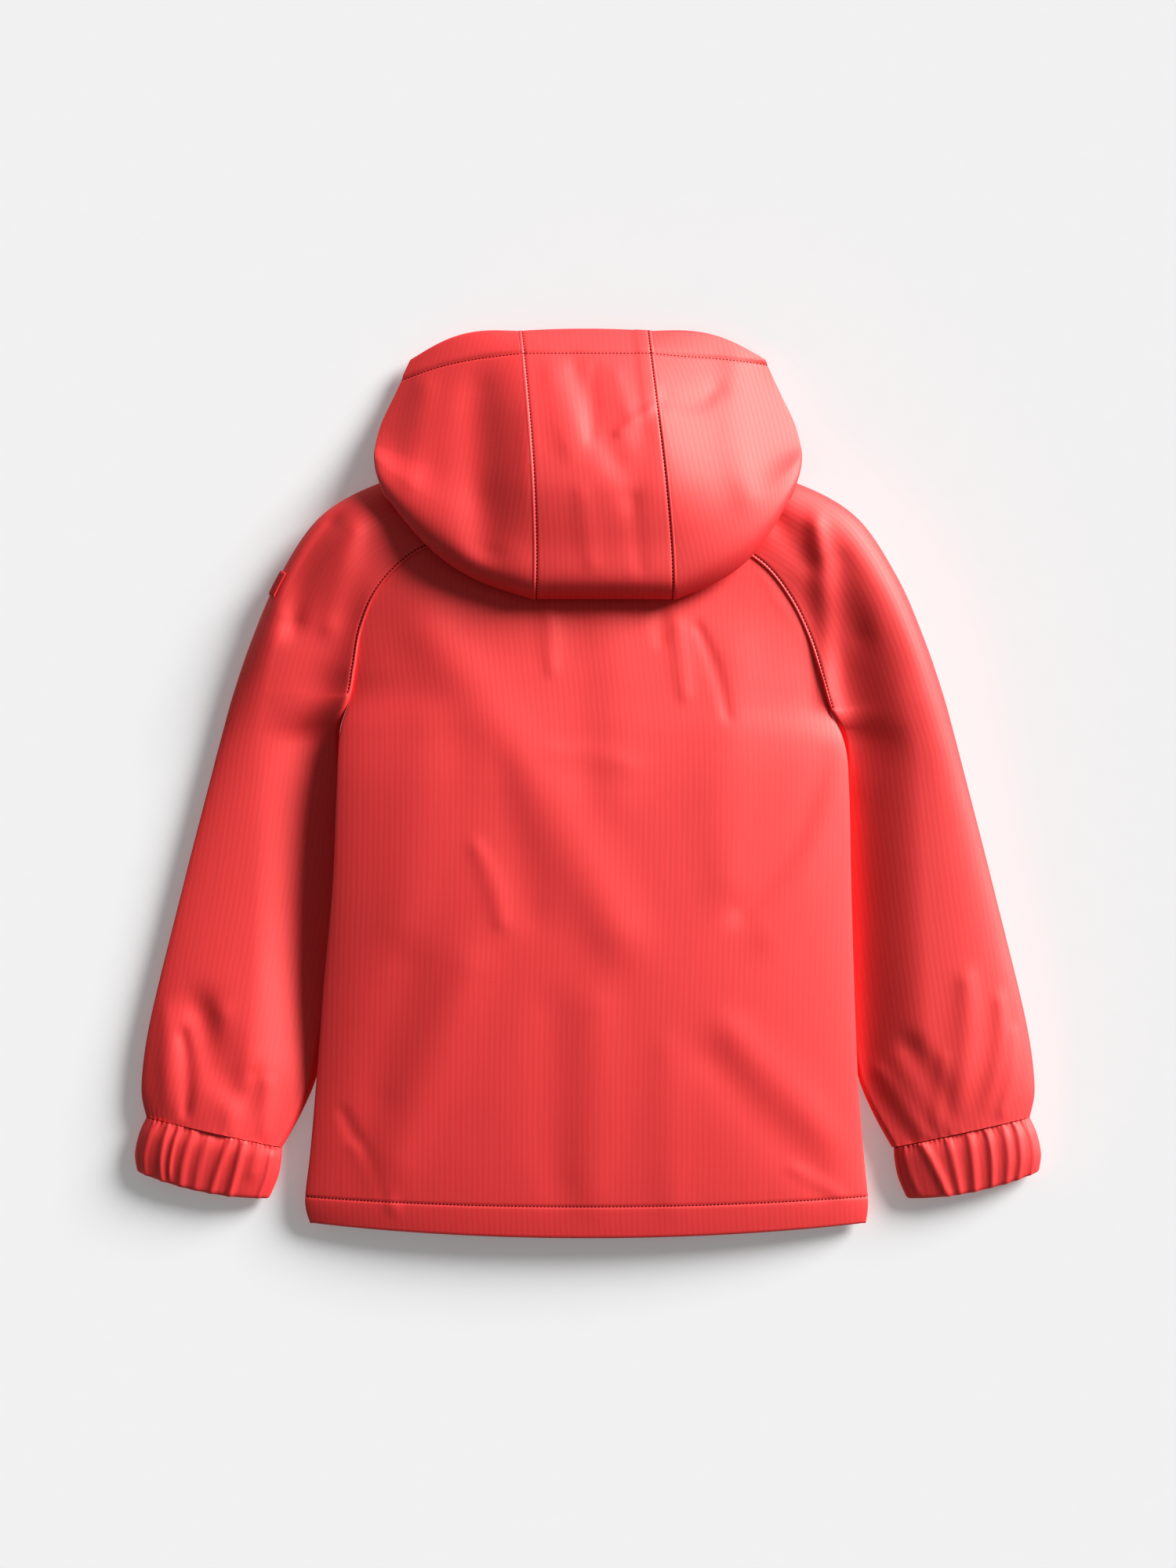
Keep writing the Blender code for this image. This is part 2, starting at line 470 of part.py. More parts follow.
def hood_rows_centre(across):
    """Control rows of the hood's centre panel, at the given places from its left seam (0) to its right one (1)."""
    table = HOOD(np.arange(len(HOOD_ROWS)))
    arch = 4 * across * (1 - across)
    rows = []
    for n in range(len(HOOD_ROWS)):
        raised = 2.0 if 0 < n < 6 else 0.0
        rows.append(points(between(table["left_x"][n], table["right_x"][n], across),
                           table["seam_y"][n] + (1.5 * arch if n == 0 else 0.0),
                           table["seam_z"][n] + raised * arch))
    width = BODY_ROWS[NECK][3] - BODY_ROWS[NECK][0]
    place = (between(-HOOD_SEAM_X, HOOD_SEAM_X, across) - BODY_ROWS[NECK][0]) / width
    edge = back_surface(np.full(across.shape, float(NECK)), place)
    folded_back = np.ones(across.shape)
    return np.stack(rows + neck_rows(edge, np.array((0.0, 1.0, 0.0)), folded_back, 0 * folded_back, 1))


def hood_surface(row, rows, around=0.0):
    """The outside of a hood panel at a row position between its control rows."""
    place = curve(np.arange(len(rows)), rows, row)
    upper = smooth_step((5.2 - row) / 1.5) * smooth_step((1 - around) * 6)
    place[..., 2] += relief(HOOD_FOLDS, place[..., 0], place[..., 1]) * upper
    place[..., 2] = np.maximum(place[..., 2], 0.0)
    return place


# ---------------------------------------------------------------- walls

def normals(grid, flip, ring):
    along = np.gradient(grid, axis=0)
    if ring:
        across = (np.roll(grid, -1, axis=1) - np.roll(grid, 1, axis=1)) / 2
    else:
        across = np.gradient(grid, axis=1)
    normal = np.cross(across, along) * flip
    return normal / np.maximum(np.linalg.norm(normal, axis=-1, keepdims=True), 1e-9)


def inside(grid, flip, thickness=CLOTH, ring=False, edges=(), calm=0):
    """The inner face of a wall: its outer face moved in along its normals, or along a given way at an edge.

    calm evens the normals out between neighbours that many times, for tight folds."""
    way = -normals(grid, flip, ring)
    for _ in range(calm):
        wide = np.pad(way, ((1, 1), (1, 1), (0, 0)), mode="edge")
        way = way * 2 + wide[:-2, 1:-1] + wide[2:, 1:-1] + wide[1:-1, :-2] + wide[1:-1, 2:]
        way = way / np.linalg.norm(way, axis=-1, keepdims=True)
    for index, direction in edges:
        way[index] = direction
    return grid + thickness * way


def pull_back(outer, inner, sides):
    """Draws the named edges of a wall in by half a seam gap."""
    for side in sides:
        edge, beside = {"first_row": (np.s_[0], np.s_[1]), "last_row": (np.s_[-1], np.s_[-2]),
                        "first_column": (np.s_[:, 0], np.s_[:, 1]), "last_column": (np.s_[:, -1], np.s_[:, -2])}[side]
        way = outer[beside] - outer[edge]
        way = way / np.linalg.norm(way, axis=-1, keepdims=True) * SEAM_GAP / 2
        outer[edge] += way
        inner[edge] += way


def cloth_material(name, color, roughness, metallic=0.0):
    material = bpy.data.materials.new(name)
    material.use_nodes = True
    shader = material.node_tree.nodes["Principled BSDF"]
    shader.inputs["Base Color"].default_value = color
    shader.inputs["Roughness"].default_value = roughness
    shader.inputs["Metallic"].default_value = metallic
    material.diffuse_color = color
    return material


def add_object(name, mesh, color=CORAL, roughness=0.8, metallic=0.0):
    mesh.materials.clear()
    mesh.materials.append(cloth_material(name, color, roughness, metallic))
    obj = bpy.data.objects.new(name, mesh)
    bpy.data.collections["kids_softshell_jacket"].objects.link(obj)
    return obj


def add_wall(name, outer, inner, ring=False, **finish):
    """One closed solid between an outer and an inner grid of points."""
    rows, columns = outer.shape[:2]
    mesh = bpy.data.meshes.new(name)
    shape = bmesh.new()
    outer_verts = [[shape.verts.new(p * MM) for p in line] for line in outer]
    inner_verts = [[shape.verts.new(p * MM) for p in line] for line in inner]
    last = columns if ring else columns - 1
    for i in range(rows - 1):
        for j in range(last):
            k = (j + 1) % columns
            shape.faces.new((outer_verts[i][j], outer_verts[i][k], outer_verts[i + 1][k], outer_verts[i + 1][j]))
            shape.faces.new((inner_verts[i][j], inner_verts[i + 1][j], inner_verts[i + 1][k], inner_verts[i][k]))
    for i in (0, rows - 1):
        for j in range(last):
            k = (j + 1) % columns
            shape.faces.new((outer_verts[i][j], inner_verts[i][j], inner_verts[i][k], outer_verts[i][k]))
    if not ring:
        for j in (0, columns - 1):
            for i in range(rows - 1):
                shape.faces.new((outer_verts[i][j], outer_verts[i + 1][j], inner_verts[i + 1][j], inner_verts[i][j]))
    bmesh.ops.recalc_face_normals(shape, faces=shape.faces)
    shape.to_mesh(mesh)
    shape.free()
    mesh.shade_smooth()
    mesh.set_sharp_from_angle(angle=math.radians(50))
    return add_object(name, mesh, **finish)


def grid(rows, columns):
    return np.meshgrid(rows, columns, indexing="ij")


def eased(count):
    """Places from 0 to 1 that lie closer together at both ends."""
    return (1 - np.cos(math.pi * np.arange(count + 1) / count)) / 2


RAGLAN_STEPS = NECK - np.array((0, 0.7, 1.35, 2, 2.65, 3.3, *PATCH_ROWS, 4.75, 5.35, 6))
SIDE_STEPS = np.concatenate((np.linspace(0, 2, 4), np.linspace(2.6, UNDERARM, 12)[:-1]))
BODY_STEPS = np.concatenate((SIDE_STEPS, RAGLAN_STEPS[::-1]))
UP, DOWN = np.array((0.0, 0.0, 1.0)), np.array((0.0, 0.0, -1.0))


def add_back():
    row, across = grid(BODY_STEPS, eased(20))
    outer = back_surface(row, across)
    seam = BODY_STEPS > UNDERARM + 0.01
    into = [np.where(seam[:, None], DOWN, np.array((-side, 0.0, 0.0))) for side in (-1, 1)]
    inner = inside(outer, 1, edges=((np.s_[:, 0], into[0]), (np.s_[:, -1], into[1])))
    pull_back(outer, inner, ("first_column", "last_column", "last_row"))
    return add_wall("back_panel", outer, inner)


def add_front(name, side):
    across = 1 - np.cos(math.pi / 2 * np.arange(8) / 7)
    row, across = grid(BODY_STEPS, across)
    outer = front_surface(row, across, side)
    seam = BODY_STEPS > UNDERARM + 0.01
    into = np.where(seam[:, None], UP, np.array((-side, 0.0, 0.0)))
    inner = inside(outer, side, edges=((np.s_[:, 0], into),))
    pull_back(outer, inner, ("first_column", "last_row"))
    return add_wall(name, outer, inner)


SLEEVE_STEPS = np.concatenate((NECK - RAGLAN_STEPS, np.linspace(6.5, 17, 15)))
SLEEVE_AROUND = np.concatenate((eased(13), 1 + eased(9)[1:]))


def sleeve_walls(side):
    row, around = grid(SLEEVE_STEPS, SLEEVE_AROUND)
    outer = sleeve_surface(row, around, side)
    above = (SLEEVE_STEPS < ARMHOLE_ROWS - 0.01)[:, None]
    away = np.array((side, 0.0, 0.0))
    inner = inside(outer, -side, edges=((np.s_[:, 0], np.where(above, DOWN, away)),
                                        (np.s_[:, -1], np.where(above, UP, away))))
    for end in (0, -1):  # the ends stay upright, so that what is sewn on meets them squarely
        inner[end, :, :2] = flat_end(outer[end], inner[end])
    pull_back(outer, inner, ("first_column", "last_column", "last_row"))
    return outer, inner


def flat_end(outer, inner):
    """Plan places of an end's inner points, moved into the upright plane through its outer points."""
    line = outer[len(outer) // 2, :2] - outer[0, :2]
    line = line / np.linalg.norm(line)
    return outer[:, :2] + ((inner - outer)[:, :2] @ line)[:, None] * line


def add_sleeve(name, side):
    outer, inner = sleeve_walls(side)
    return add_wall(name, outer, inner)


def add_cuff(name, side):
    around = np.arange(4 * GATHERS) / (4 * GATHERS)
    row, around = grid(np.array((0, 1.0, 2.0, 3.0)), around)
    base = cuff_surface(row, around, side)
    way = normals(base, -side, True)
    fold = np.sin(2 * math.pi * GATHERS * around) * GATHER_DEPTH / 2
    fold *= 1 + 0.35 * np.sin(2 * math.pi * 5 * around + row)
    outer = base + way * fold[..., None]
    inner = base + way * (0.4 * fold - CLOTH)[..., None]
    outer[..., 2] = np.maximum(outer[..., 2], 0.0)
    return add_wall(name, outer, inner, ring=True)


HOOD_STEPS = np.array((0, 0.5, 1, 1.5, 2, 2.5, 3, 3.5, 4, 4.5, 5, 5.5, 6, 6.5, 7, 8, 9, 10, 11))
HOOD_AROUND = np.array((0, 0.1, 0.22, 0.36, 0.5, 0.64, 0.77, 0.89, 1, 1.1, 1.2, 1.27, 1.33, 1.4,
                        1.47, 1.53, 1.6, 1.73, 1.87, 2))


def seam_way(outer, column):
    """The way into the wall at a hood seam, the same for both panels that meet there."""
    along = np.gradient(outer[:, column], axis=0)
    way = np.cross(np.array((1.0, 0.0, 0.0)), along)
    return way / np.linalg.norm(way, axis=-1, keepdims=True)


def add_hood_centre():
    row, across = grid(HOOD_STEPS, np.linspace(0, 1, 7))
    outer = hood_surface(row, hood_rows_centre(across))
    inner = inside(outer, -1, edges=[(np.s_[:, n], seam_way(outer, n)) for n in (0, -1)])
    pull_back(outer, inner, ("first_column", "last_column"))
    return add_wall("hood_centre", outer, inner)


def add_hood_side(name, side):
    row, around = grid(HOOD_STEPS, HOOD_AROUND)
    outer = hood_surface(row, hood_rows_side(around, side), around)
    inner = inside(outer, -side, edges=((np.s_[:, 0], seam_way(outer, 0)),), calm=1)
    pull_back(outer, inner, ("first_column",))
    return add_wall(name, outer, inner)


def add_patch():
    """The sleeve patch, made from the sleeve's own points moved out."""
    rows = (SLEEVE_STEPS > PATCH_ROWS[0] - 0.01) & (SLEEVE_STEPS < PATCH_ROWS[1] + 0.01)
    columns = (SLEEVE_AROUND > PATCH_AROUND[0]) & (SLEEVE_AROUND < PATCH_AROUND[1])
    row, around = grid(SLEEVE_STEPS, SLEEVE_AROUND)
    sleeve = sleeve_surface(row, around, -1)
    way = normals(sleeve, 1, False)
    pick = np.ix_(rows, columns)
    outer = sleeve[pick] + way[pick] * (PATCH_OFF + PATCH)
    inner = sleeve[pick] + way[pick] * PATCH_OFF
    return add_wall("sleeve_patch", outer, inner, color=CORAL_PATCH)


def add_zip():
    """Tape and closed chain as one piece, lifted with the cloth at the slider."""
    tape_low = CLOTH + SEAM_GAP
    section = ((-TAPE_HALF, tape_low), (-CHAIN_HALF, tape_low), (-CHAIN_HALF, CHAIN_LOW), (CHAIN_HALF, CHAIN_LOW),
               (CHAIN_HALF, tape_low), (TAPE_HALF, tape_low), (TAPE_HALF, tape_low + TAPE), (-TAPE_HALF, tape_low + TAPE))
    steps = np.concatenate((np.linspace(ZIP_BOTTOM, 76, 9), np.linspace(84, LIFT_FULL_Y[0], 8),
                            np.linspace(136, ZIP_TOP, 4)))
    x, z = np.array(section, float).T
    grid_x, grid_y = np.meshgrid(x, steps)
    place = points(grid_x, grid_y, z[None, :] + zip_lift(grid_x, grid_y))
    mesh = bpy.data.meshes.new("zip")
    shape = bmesh.new()
    verts = [[shape.verts.new(p * MM) for p in line] for line in place]
    for below, above in zip(verts, verts[1:]):
        for j in range(len(x)):
            k = (j + 1) % len(x)
            shape.faces.new((below[j], below[k], above[k], above[j]))
    for line in (verts[0], verts[-1]):
        shape.faces.new((line[0], line[1], line[6], line[7]))
        shape.faces.new((line[1], line[2], line[3], line[4]))
        shape.faces.new((line[1], line[4], line[5], line[6]))
    bmesh.ops.recalc_face_normals(shape, faces=shape.faces)
    shape.to_mesh(mesh)
    shape.free()
    return add_object("zip", mesh, color=CORAL_ZIP)


def flat_shape(loops, depth, edge=0.15):
    """A flat plate between closed outlines, half its depth to each side of its own plane, its edges taken off."""
    drawn = bpy.data.curves.new("outline", "CURVE")
    drawn.dimensions = "2D"
    drawn.fill_mode = "BOTH"
    drawn.extrude = (depth / 2 - edge) * MM
    drawn.bevel_depth = edge * MM
    drawn.bevel_resolution = 0
    drawn.offset = -edge * MM
    for loop in loops:
        spline = drawn.splines.new("POLY")
        spline.points.add(len(loop) - 1)
        for point, (x, y) in zip(spline.points, loop):
            point.co = (x * MM, y * MM, 0.0, 1.0)
        spline.use_cyclic_u = True
    obj = bpy.data.objects.new("outline", drawn)
    mesh = bpy.data.meshes.new_from_object(obj)
    bpy.data.objects.remove(obj)
    shape = bmesh.new()
    shape.from_mesh(mesh)
    bmesh.ops.remove_doubles(shape, verts=shape.verts, dist=0.000001)
    bmesh.ops.recalc_face_normals(shape, faces=shape.faces)
    shape.to_mesh(mesh)
    shape.free()
    return mesh


def round_loop(x, y, radius, count=16):
    turn = np.arange(count) * 2 * math.pi / count
    return [(x + radius * math.cos(a), y + radius * math.sin(a)) for a in turn]


def joined(name, meshes):
    """One mesh of several that overlap."""
    parts = [bpy.data.objects.new(name, mesh) for mesh in meshes]
    for part in parts:
        bpy.data.collections["kids_softshell_jacket"].objects.link(part)
    for part in parts[1:]:
        union = parts[0].modifiers.new("union", "BOOLEAN")
        union.operation = "UNION"
        union.solver = "EXACT"
        union.object = part
    seen = bpy.context.evaluated_depsgraph_get()
    mesh = bpy.data.meshes.new_from_object(parts[0].evaluated_get(seen))
    for part in parts:
        bpy.data.objects.remove(part)
    mesh.shade_smooth()
    mesh.set_sharp_from_angle(angle=math.radians(35))
    return mesh


def add_slider():
    """The slider: its plate under the chain, and the bridge that holds the pull."""
    wide, long, thick = SLIDER
    low = LIFT + CHAIN_LOW - SEAM_GAP - thick
    half = long / 2
    plate = flat_shape([[(-wide / 2, half - 2), (-wide / 2 + 1.6, half), (wide / 2 - 1.6, half), (wide / 2, half - 2),
                         (wide / 2 - 1.1, -half), (-wide / 2 + 1.1, -half)]], thick)
    plate.transform(Matrix.Translation((0, SLIDER_Y * MM, (low + thick / 2) * MM)))
    outer = EYE_RADIUS + BRIDGE_WALL
    turn = [math.radians(a) for a in range(-160, -19, 20)]
    arch = [(outer * math.cos(a), PULL_AXIS_Z + outer * math.sin(a)) for a in turn]
    arch += [(2.3, low + 0.4), (-2.3, low + 0.4)]
    bridge = flat_shape([arch, round_loop(0, PULL_AXIS_Z, EYE_RADIUS)], 2 * BRIDGE_HALF)
    bridge.transform(Matrix.Translation((0, SLIDER_Y * MM, 0)) @ Matrix.Rotation(math.pi / 2, 4, "Z")
                     @ Matrix.Rotation(math.pi / 2, 4, "X"))
    mesh = joined("zip_slider", (plate, bridge))
    return add_object("zip_slider", mesh, color=GUNMETAL, roughness=0.35, metallic=1.0)


def add_pull():
    """The pull tab: a forked plate whose pin turns in the slider's eye."""
    half, slot, head = PULL_WIDTH / 2, BRIDGE_HALF + 0.3, 1.4
    end = head - PULL_LENGTH
    plate = flat_shape([[(half, head), (slot, head), (slot, -3.6), (-slot, -3.6), (-slot, head), (-half, head),
                         (-half, end + 2.4), (-half + 1.4, end), (half - 1.4, end), (half, end + 2.4)],
                        round_loop(0, end + 4.6, 1.5)], PULL_THICK)
    shape = bmesh.new()
    bmesh.ops.create_cone(shape, cap_ends=True, segments=12, radius1=PIN_RADIUS * MM, radius2=PIN_RADIUS * MM,
                          depth=2 * (slot + 0.6) * MM)
    pin = bpy.data.meshes.new("pin")
    shape.to_mesh(pin)
    shape.free()
    pin.transform(Matrix.Rotation(math.pi / 2, 4, "Y"))
    mesh = joined("zip_pull", (plate, pin))
    pull = add_object("zip_pull", mesh, color=GUNMETAL, roughness=0.35, metallic=1.0)
    pull.location = (0, SLIDER_Y * MM, PULL_AXIS_Z * MM)
    return pull


def build():
    for old in list(bpy.data.objects):
        bpy.data.objects.remove(old, do_unlink=True)
    jacket = bpy.data.collections.new("kids_softshell_jacket")
    bpy.context.scene.collection.children.link(jacket)
    add_back()
    add_front("left_front", -1)
    add_front("right_front", 1)
    add_sleeve("left_sleeve", -1)
    add_sleeve("right_sleeve", 1)
    add_cuff("left_cuff", -1)
    add_cuff("right_cuff", 1)
    add_hood_centre()
    add_hood_side("hood_left", -1)
    add_hood_side("hood_right", 1)
    add_patch()
    add_zip()
    add_slider()
    add_pull()


build()
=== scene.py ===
"""Looks of a child's softshell jacket that lies face down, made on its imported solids.

Sizes are millimetres in the same frame as the solids: +X right, +Y from hem to hood, +Z up. Every cloth
panel is a thin shell on the form of its solid, with its seams, stitching, finer folds and gathers added.
"""
import math

import bpy
import numpy as np
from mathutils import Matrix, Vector


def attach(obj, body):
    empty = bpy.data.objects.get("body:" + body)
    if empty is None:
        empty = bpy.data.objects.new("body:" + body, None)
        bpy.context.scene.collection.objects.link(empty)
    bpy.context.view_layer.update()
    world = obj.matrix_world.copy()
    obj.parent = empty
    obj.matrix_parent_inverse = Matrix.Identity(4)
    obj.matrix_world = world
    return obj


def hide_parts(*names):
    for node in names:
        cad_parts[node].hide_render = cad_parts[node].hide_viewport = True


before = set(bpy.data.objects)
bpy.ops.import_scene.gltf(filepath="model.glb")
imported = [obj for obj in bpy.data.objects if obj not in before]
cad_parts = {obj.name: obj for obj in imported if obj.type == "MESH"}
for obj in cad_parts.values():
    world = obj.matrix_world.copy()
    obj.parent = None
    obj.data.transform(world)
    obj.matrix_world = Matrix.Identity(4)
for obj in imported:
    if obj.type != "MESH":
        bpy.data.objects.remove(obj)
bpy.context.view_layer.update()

# ---------------------------------------------------------------- sizes

MM = 0.001
CLOTH = 1.6  # thickness of the softshell
SEAM_GAP = 0.3  # between two pieces that are sewn together
HAIR = 0.06  # by which each sewn edge is drawn in, so that two panels never share a face
SIDE_NAME = {-1: "left", 1: "right"}


def on_curve(before, this, following, after, f):
    """The place f of the way from this point to the following one, on a smooth curve through all four."""
    return this + 0.5 * f * (following - before + f * (
        2 * before - 5 * this + 4 * following - after
        + f * (3 * this - before - 3 * following + after)))


class Table:
    """Rows of numbers under named columns, read at any row position on a smooth curve through them."""

    def __init__(self, columns, rows):
        self.columns = columns.split()
        self.rows = np.array(rows, float)

    def __call__(self, at):
        last = len(self.rows) - 1
        at = np.clip(np.asarray(at, float), 0, last)
        i = np.minimum(at.astype(int), last - 1)
        f = (at - i)[..., None]
        before, this = self.rows[np.maximum(i - 1, 0)], self.rows[i]
        following, after = self.rows[i + 1], self.rows[np.minimum(i + 2, last)]
        value = on_curve(before, this, following, after, f)
        return {name: value[..., n] for n, name in enumerate(self.columns)}


# Body: a row for each section from hem to back neck. The edges are the side seams up to UNDERARM and the
# back raglan seams above it. mid_y and front_y are where the row crosses the middle of the back and of
# the front, crest is the height there, and fullness is low where the cloth rolls over an edge and 1 where
# it runs on flat.
UNDERARM, NECK = 8, 14
BODY = Table("left_x left_y left_z right_x right_y right_z mid_y front_y crest fullness", (
    (-177.5, -281, 9, 177.5, -281, 8.5, -290, -283, 19, 0.7),
    (-180.5, -266, 12, 178.8, -266, 10.5, -272, -267, 22.5, 0.7),
    (-177, -235, 15.5, 175.8, -235, 12.5, -239, -235, 27.5, 0.75),
    (-173, -190, 19, 172.2, -190, 15.5, -192, -190, 33, 0.8),
    (-168.3, -130, 24, 169.6, -130, 18.5, -131, -130, 38, 0.8),
    (-162.2, -65, 29.5, 167.6, -65, 20.5, -65, -65, 41.5, 0.8),
    (-159.6, -5, 30.5, 166.2, -5, 21.5, -5, -5, 43, 0.8),
    (-157.5, 32, 27.5, 163.6, 24, 21, 30, 28, 42, 0.8),
    (-150.5, 56, 25, 154, 46, 20, 54, 46, 40.5, 0.85),
    (-147.5, 74, 25.5, 147, 69, 21.5, 75, 66, 39, 0.9),
    (-143.5, 98, 26.5, 139, 94, 24, 97, 84, 37, 1),
    (-133, 122, 28.5, 127.5, 117, 26.5, 118, 100, 34, 1),
    (-112.5, 143, 28.5, 110.5, 138, 28, 137, 114, 31.5, 1),
    (-84, 157, 28.5, 83, 155, 28.5, 152, 127, 30, 1),
    (-52, 169, 28, 52, 168, 28, 165, 138, 28.5, 1),
))
DOME = 2.5  # how square the back's section is: 2 is a parabola
FRONT_RAGLAN = Table("left_x left_y left_z right_x right_y right_z", (
    (-150.5, 56, 25, 154, 46, 20),
    (-147.5, 73, 8, 147.5, 68, 7.5),
    (-142.5, 94, 0.8, 139, 90, 0.8),
    (-131.5, 114, 0, 127.5, 110, 0),
    (-111, 131, 0, 109.5, 127, 0),
    (-82, 143, 0, 82, 141, 0),
    (-50, 151, 0, 50, 151, 0),
))
SIDE_ROLL = 21.0  # how far the front runs in from the side seam before it lies flat

# Sleeve: a row for each section from the neck edge to the cuff seam, at right (the left one is its
# mirror). out is the fold along the outer side, crest the highest point and crest_at its place from the
# inner edge to the fold, roll the height gained at once at the inner edge.
SLEEVE = Table("out_x out_y left_z left_crest left_at left_roll "
               "right_z right_crest right_at right_roll dip", (
    (66, 200, 15, 28.2, 0.30, 0.6, 15, 28.2, 0.30, 0.6, 0),
    (101, 197.5, 15, 29.8, 0.38, 0.8, 15, 29.8, 0.38, 0.8, 0),
    (135.5, 190.3, 15, 31, 0.46, 1, 15, 31, 0.46, 1, 0),
    (171.3, 169.3, 15, 30.5, 0.56, 1, 15.5, 32, 0.58, 1, 0.5),
    (197, 131.5, 14.5, 27.5, 0.68, 1, 15.5, 32, 0.70, 1.2, 3),
    (213.7, 93.5, 13.5, 24.5, 0.76, 3, 15, 31, 0.76, 3, 4.5),
    (226, 58, 12.5, 21, 0.72, 4, 14.5, 29.5, 0.70, 4, 5),
    (233.5, 31, 12, 18.2, 0.68, 6, 14.5, 27.5, 0.66, 5, 3.5),
    (240.8, 3, 12, 17.2, 0.64, 7.5, 14, 25.5, 0.62, 3, 1),
    (247.8, -24, 12, 17, 0.60, 8, 14, 24.3, 0.58, 3, 0.5),
    (254.5, -50, 12, 17, 0.56, 8, 13.5, 23.8, 0.55, 3, 0.5),
    (261, -76, 12, 17.4, 0.52, 8, 13.5, 23.5, 0.52, 3, 0.5),
    (267.8, -103, 12, 18.4, 0.48, 8, 13, 23.5, 0.49, 3, 0.5),
    (274.5, -130, 12, 19.8, 0.45, 7.5, 13, 23.5, 0.46, 3, 0.5),
    (280.2, -155.5, 12, 21, 0.44, 7, 12.5, 23.5, 0.43, 3, 0),
    (283.8, -178, 11.5, 22, 0.43, 6.5, 12, 23.5, 0.41, 3.5, 0),
    (285, -198, 11, 21.5, 0.46, 6, 11.5, 22, 0.45, 4.5, 0),
    (282, -213, 10.5, 20.5, 0.50, 5.5, 10.5, 20.5, 0.50, 5.5, 0),
))
DIP_NEAR = 0.65  # how near the inner edge the dip is: 1 is half way to the crest
SLEEVE_FALL = {-1: (1.8, 0.7), 1: (2.6, 0.5)}  # how it falls from its crest to the fold: 1, 1 is straight
SUNK_ROWS = (5.5, 16.5)  # where its inner side lies sunk beside the body
SUNK = {-1: (3.5, 1.5), 1: (3.0, 0.65)}  # the roll there, and how late it climbs
UNDERARM_BLEND = 1.3  # rows over which its edge leaves the raglan seam
ARMHOLE_ROWS = NECK - UNDERARM  # the sleeve's rows above the underarm, one for each raglan row
CUFF_SEAM = len(SLEEVE.rows) - 1
SLEEVE_LAST_ROWS = (16.72, 16.8, 16.87, 16.93, 16.97, CUFF_SEAM)  # close together at the cuff's puckers

# Underarm seam of the sleeve: how far it lies under the body's side, its place and its height.
UNDERARM_SEAM = Table("tuck y z", (
    (-1.2, 33, 13),
    (1.5, 6, 9.5),
    (2.5, -22, 7),
    (3, -51, 5.5),
    (3, -80, 4.5),
    (3, -109, 4.5),
    (3, -138, 4.5),
    (2, -165, 4.8),
    (-1, -189, 5.5),
    (-9, -212, 7),
    (-18.5, -232.5, 8.5),
))
SLEEVE_ROLL = 17.0  # how far the underside runs in from the outer fold before it lies flat

# Cuff: a row for each section from its seam to its edge, at right. out and in are its two folds.
CUFF = Table("out_x out_y in_x in_y mid_z height bow", (
    (282, -213.3, 195.3, -232.8, 9.5, 19, 0),
    (286.8, -224, 195.8, -240.5, 9, 19.5, 0),
    (289.5, -237, 198.2, -252, 8, 17.5, 1),
    (288, -248.5, 204, -265.5, 7, 14, 4),
))
GATHER_DEPTH = 1.3  # how high its underside lies, to leave room for the gathers

# Hood: a row for each section from the face opening over the crown to the neck. seam is where the row
# crosses the seam between the centre and side panels, fold the hood's outline or the crease above the
# sleeve, drop, tip and under three points of the lower layer round the shoulder, and chin_y the row's end
# at the front edge. bow is how far the row swings out between seam and fold, and turn the radius of the
# cloth in the fold.
HOOD = Table("left_x right_x seam_y seam_z fold_x fold_y fold_z puff bow turn "
             "drop_x drop_y drop_z tip_x tip_y tip_z under_x under_y chin_y", (
    (-44.5, 40.5, 288.5, 18, 112.5, 271.5, 9, 0.5, 7, 4.5, 101, 253, 0, 80, 238, 0, 58, 224, 173),
    (-42.5, 42.5, 270, 31, 122.5, 249.5, 11, 0.5, 4, 5, 109, 243, 0.5, 90, 232, 0, 62, 220, 171),
    (-38.8, 47, 230.5, 51, 131.5, 230, 14, 0.5, 0, 5, 115, 234, 1, 96, 228, 0, 64, 216, 169),
    (-36, 51.5, 190, 60, 135.2, 216, 19, 0.5, -3, 5, 119, 227.5, 2.5, 98, 223.5, 0, 64, 212, 167),
    (-34.8, 55, 150, 56.5, 136, 206, 25, 0, -7, 5, 119, 221.5, 6, 96, 219, 0.5, 62, 208, 164),
    (-35, 56, 125.5, 53, 133.5, 194, 32, 0, -10.5, 5, 116, 216.5, 13, 91, 215, 2, 59, 204, 161),
    (-35.3, 55.8, 116.3, 40.5, 126.5, 180, 37, 1, -12, 4, 109, 212, 22, 85, 212, 5, 55, 199, 157),
    (-36, 55, 124, 34, 111, 170, 32.8, 0, -9, 0, 100, 204, 29, 79, 209.5, 9, 51, 194, 153),
    (-40, 51, 142, 33.3, 87, 167, 32.4, 0, 0, 0, 87, 196, 30, 73, 207, 12.5, 47, 187, 149),
))
# How a side panel falls from its seam to its fold, over the crown and near the neck: 1, 1 is straight.
CROWN_SLOPE, NECK_SLOPE = (1.05, 0.95), (2.0, 0.65)
HOOD_KNOTS = (0.0, 1.0, 1.2, 1.4, 1.6, 2.0)  # around a side panel: seam, fold, drop, tip, under, front edge
HOOD_SEAM_X = 45.0  # where the hood's two seams meet the back neckline
HOOD_CENTRE_WIDE, HOOD_SIDE_WIDE = 88.0, 92.0  # about how wide its panels are
HOOD_FOLD_END, HOOD_FINE_END = 5.2, 5.6  # the rows at which its main and finer folds end
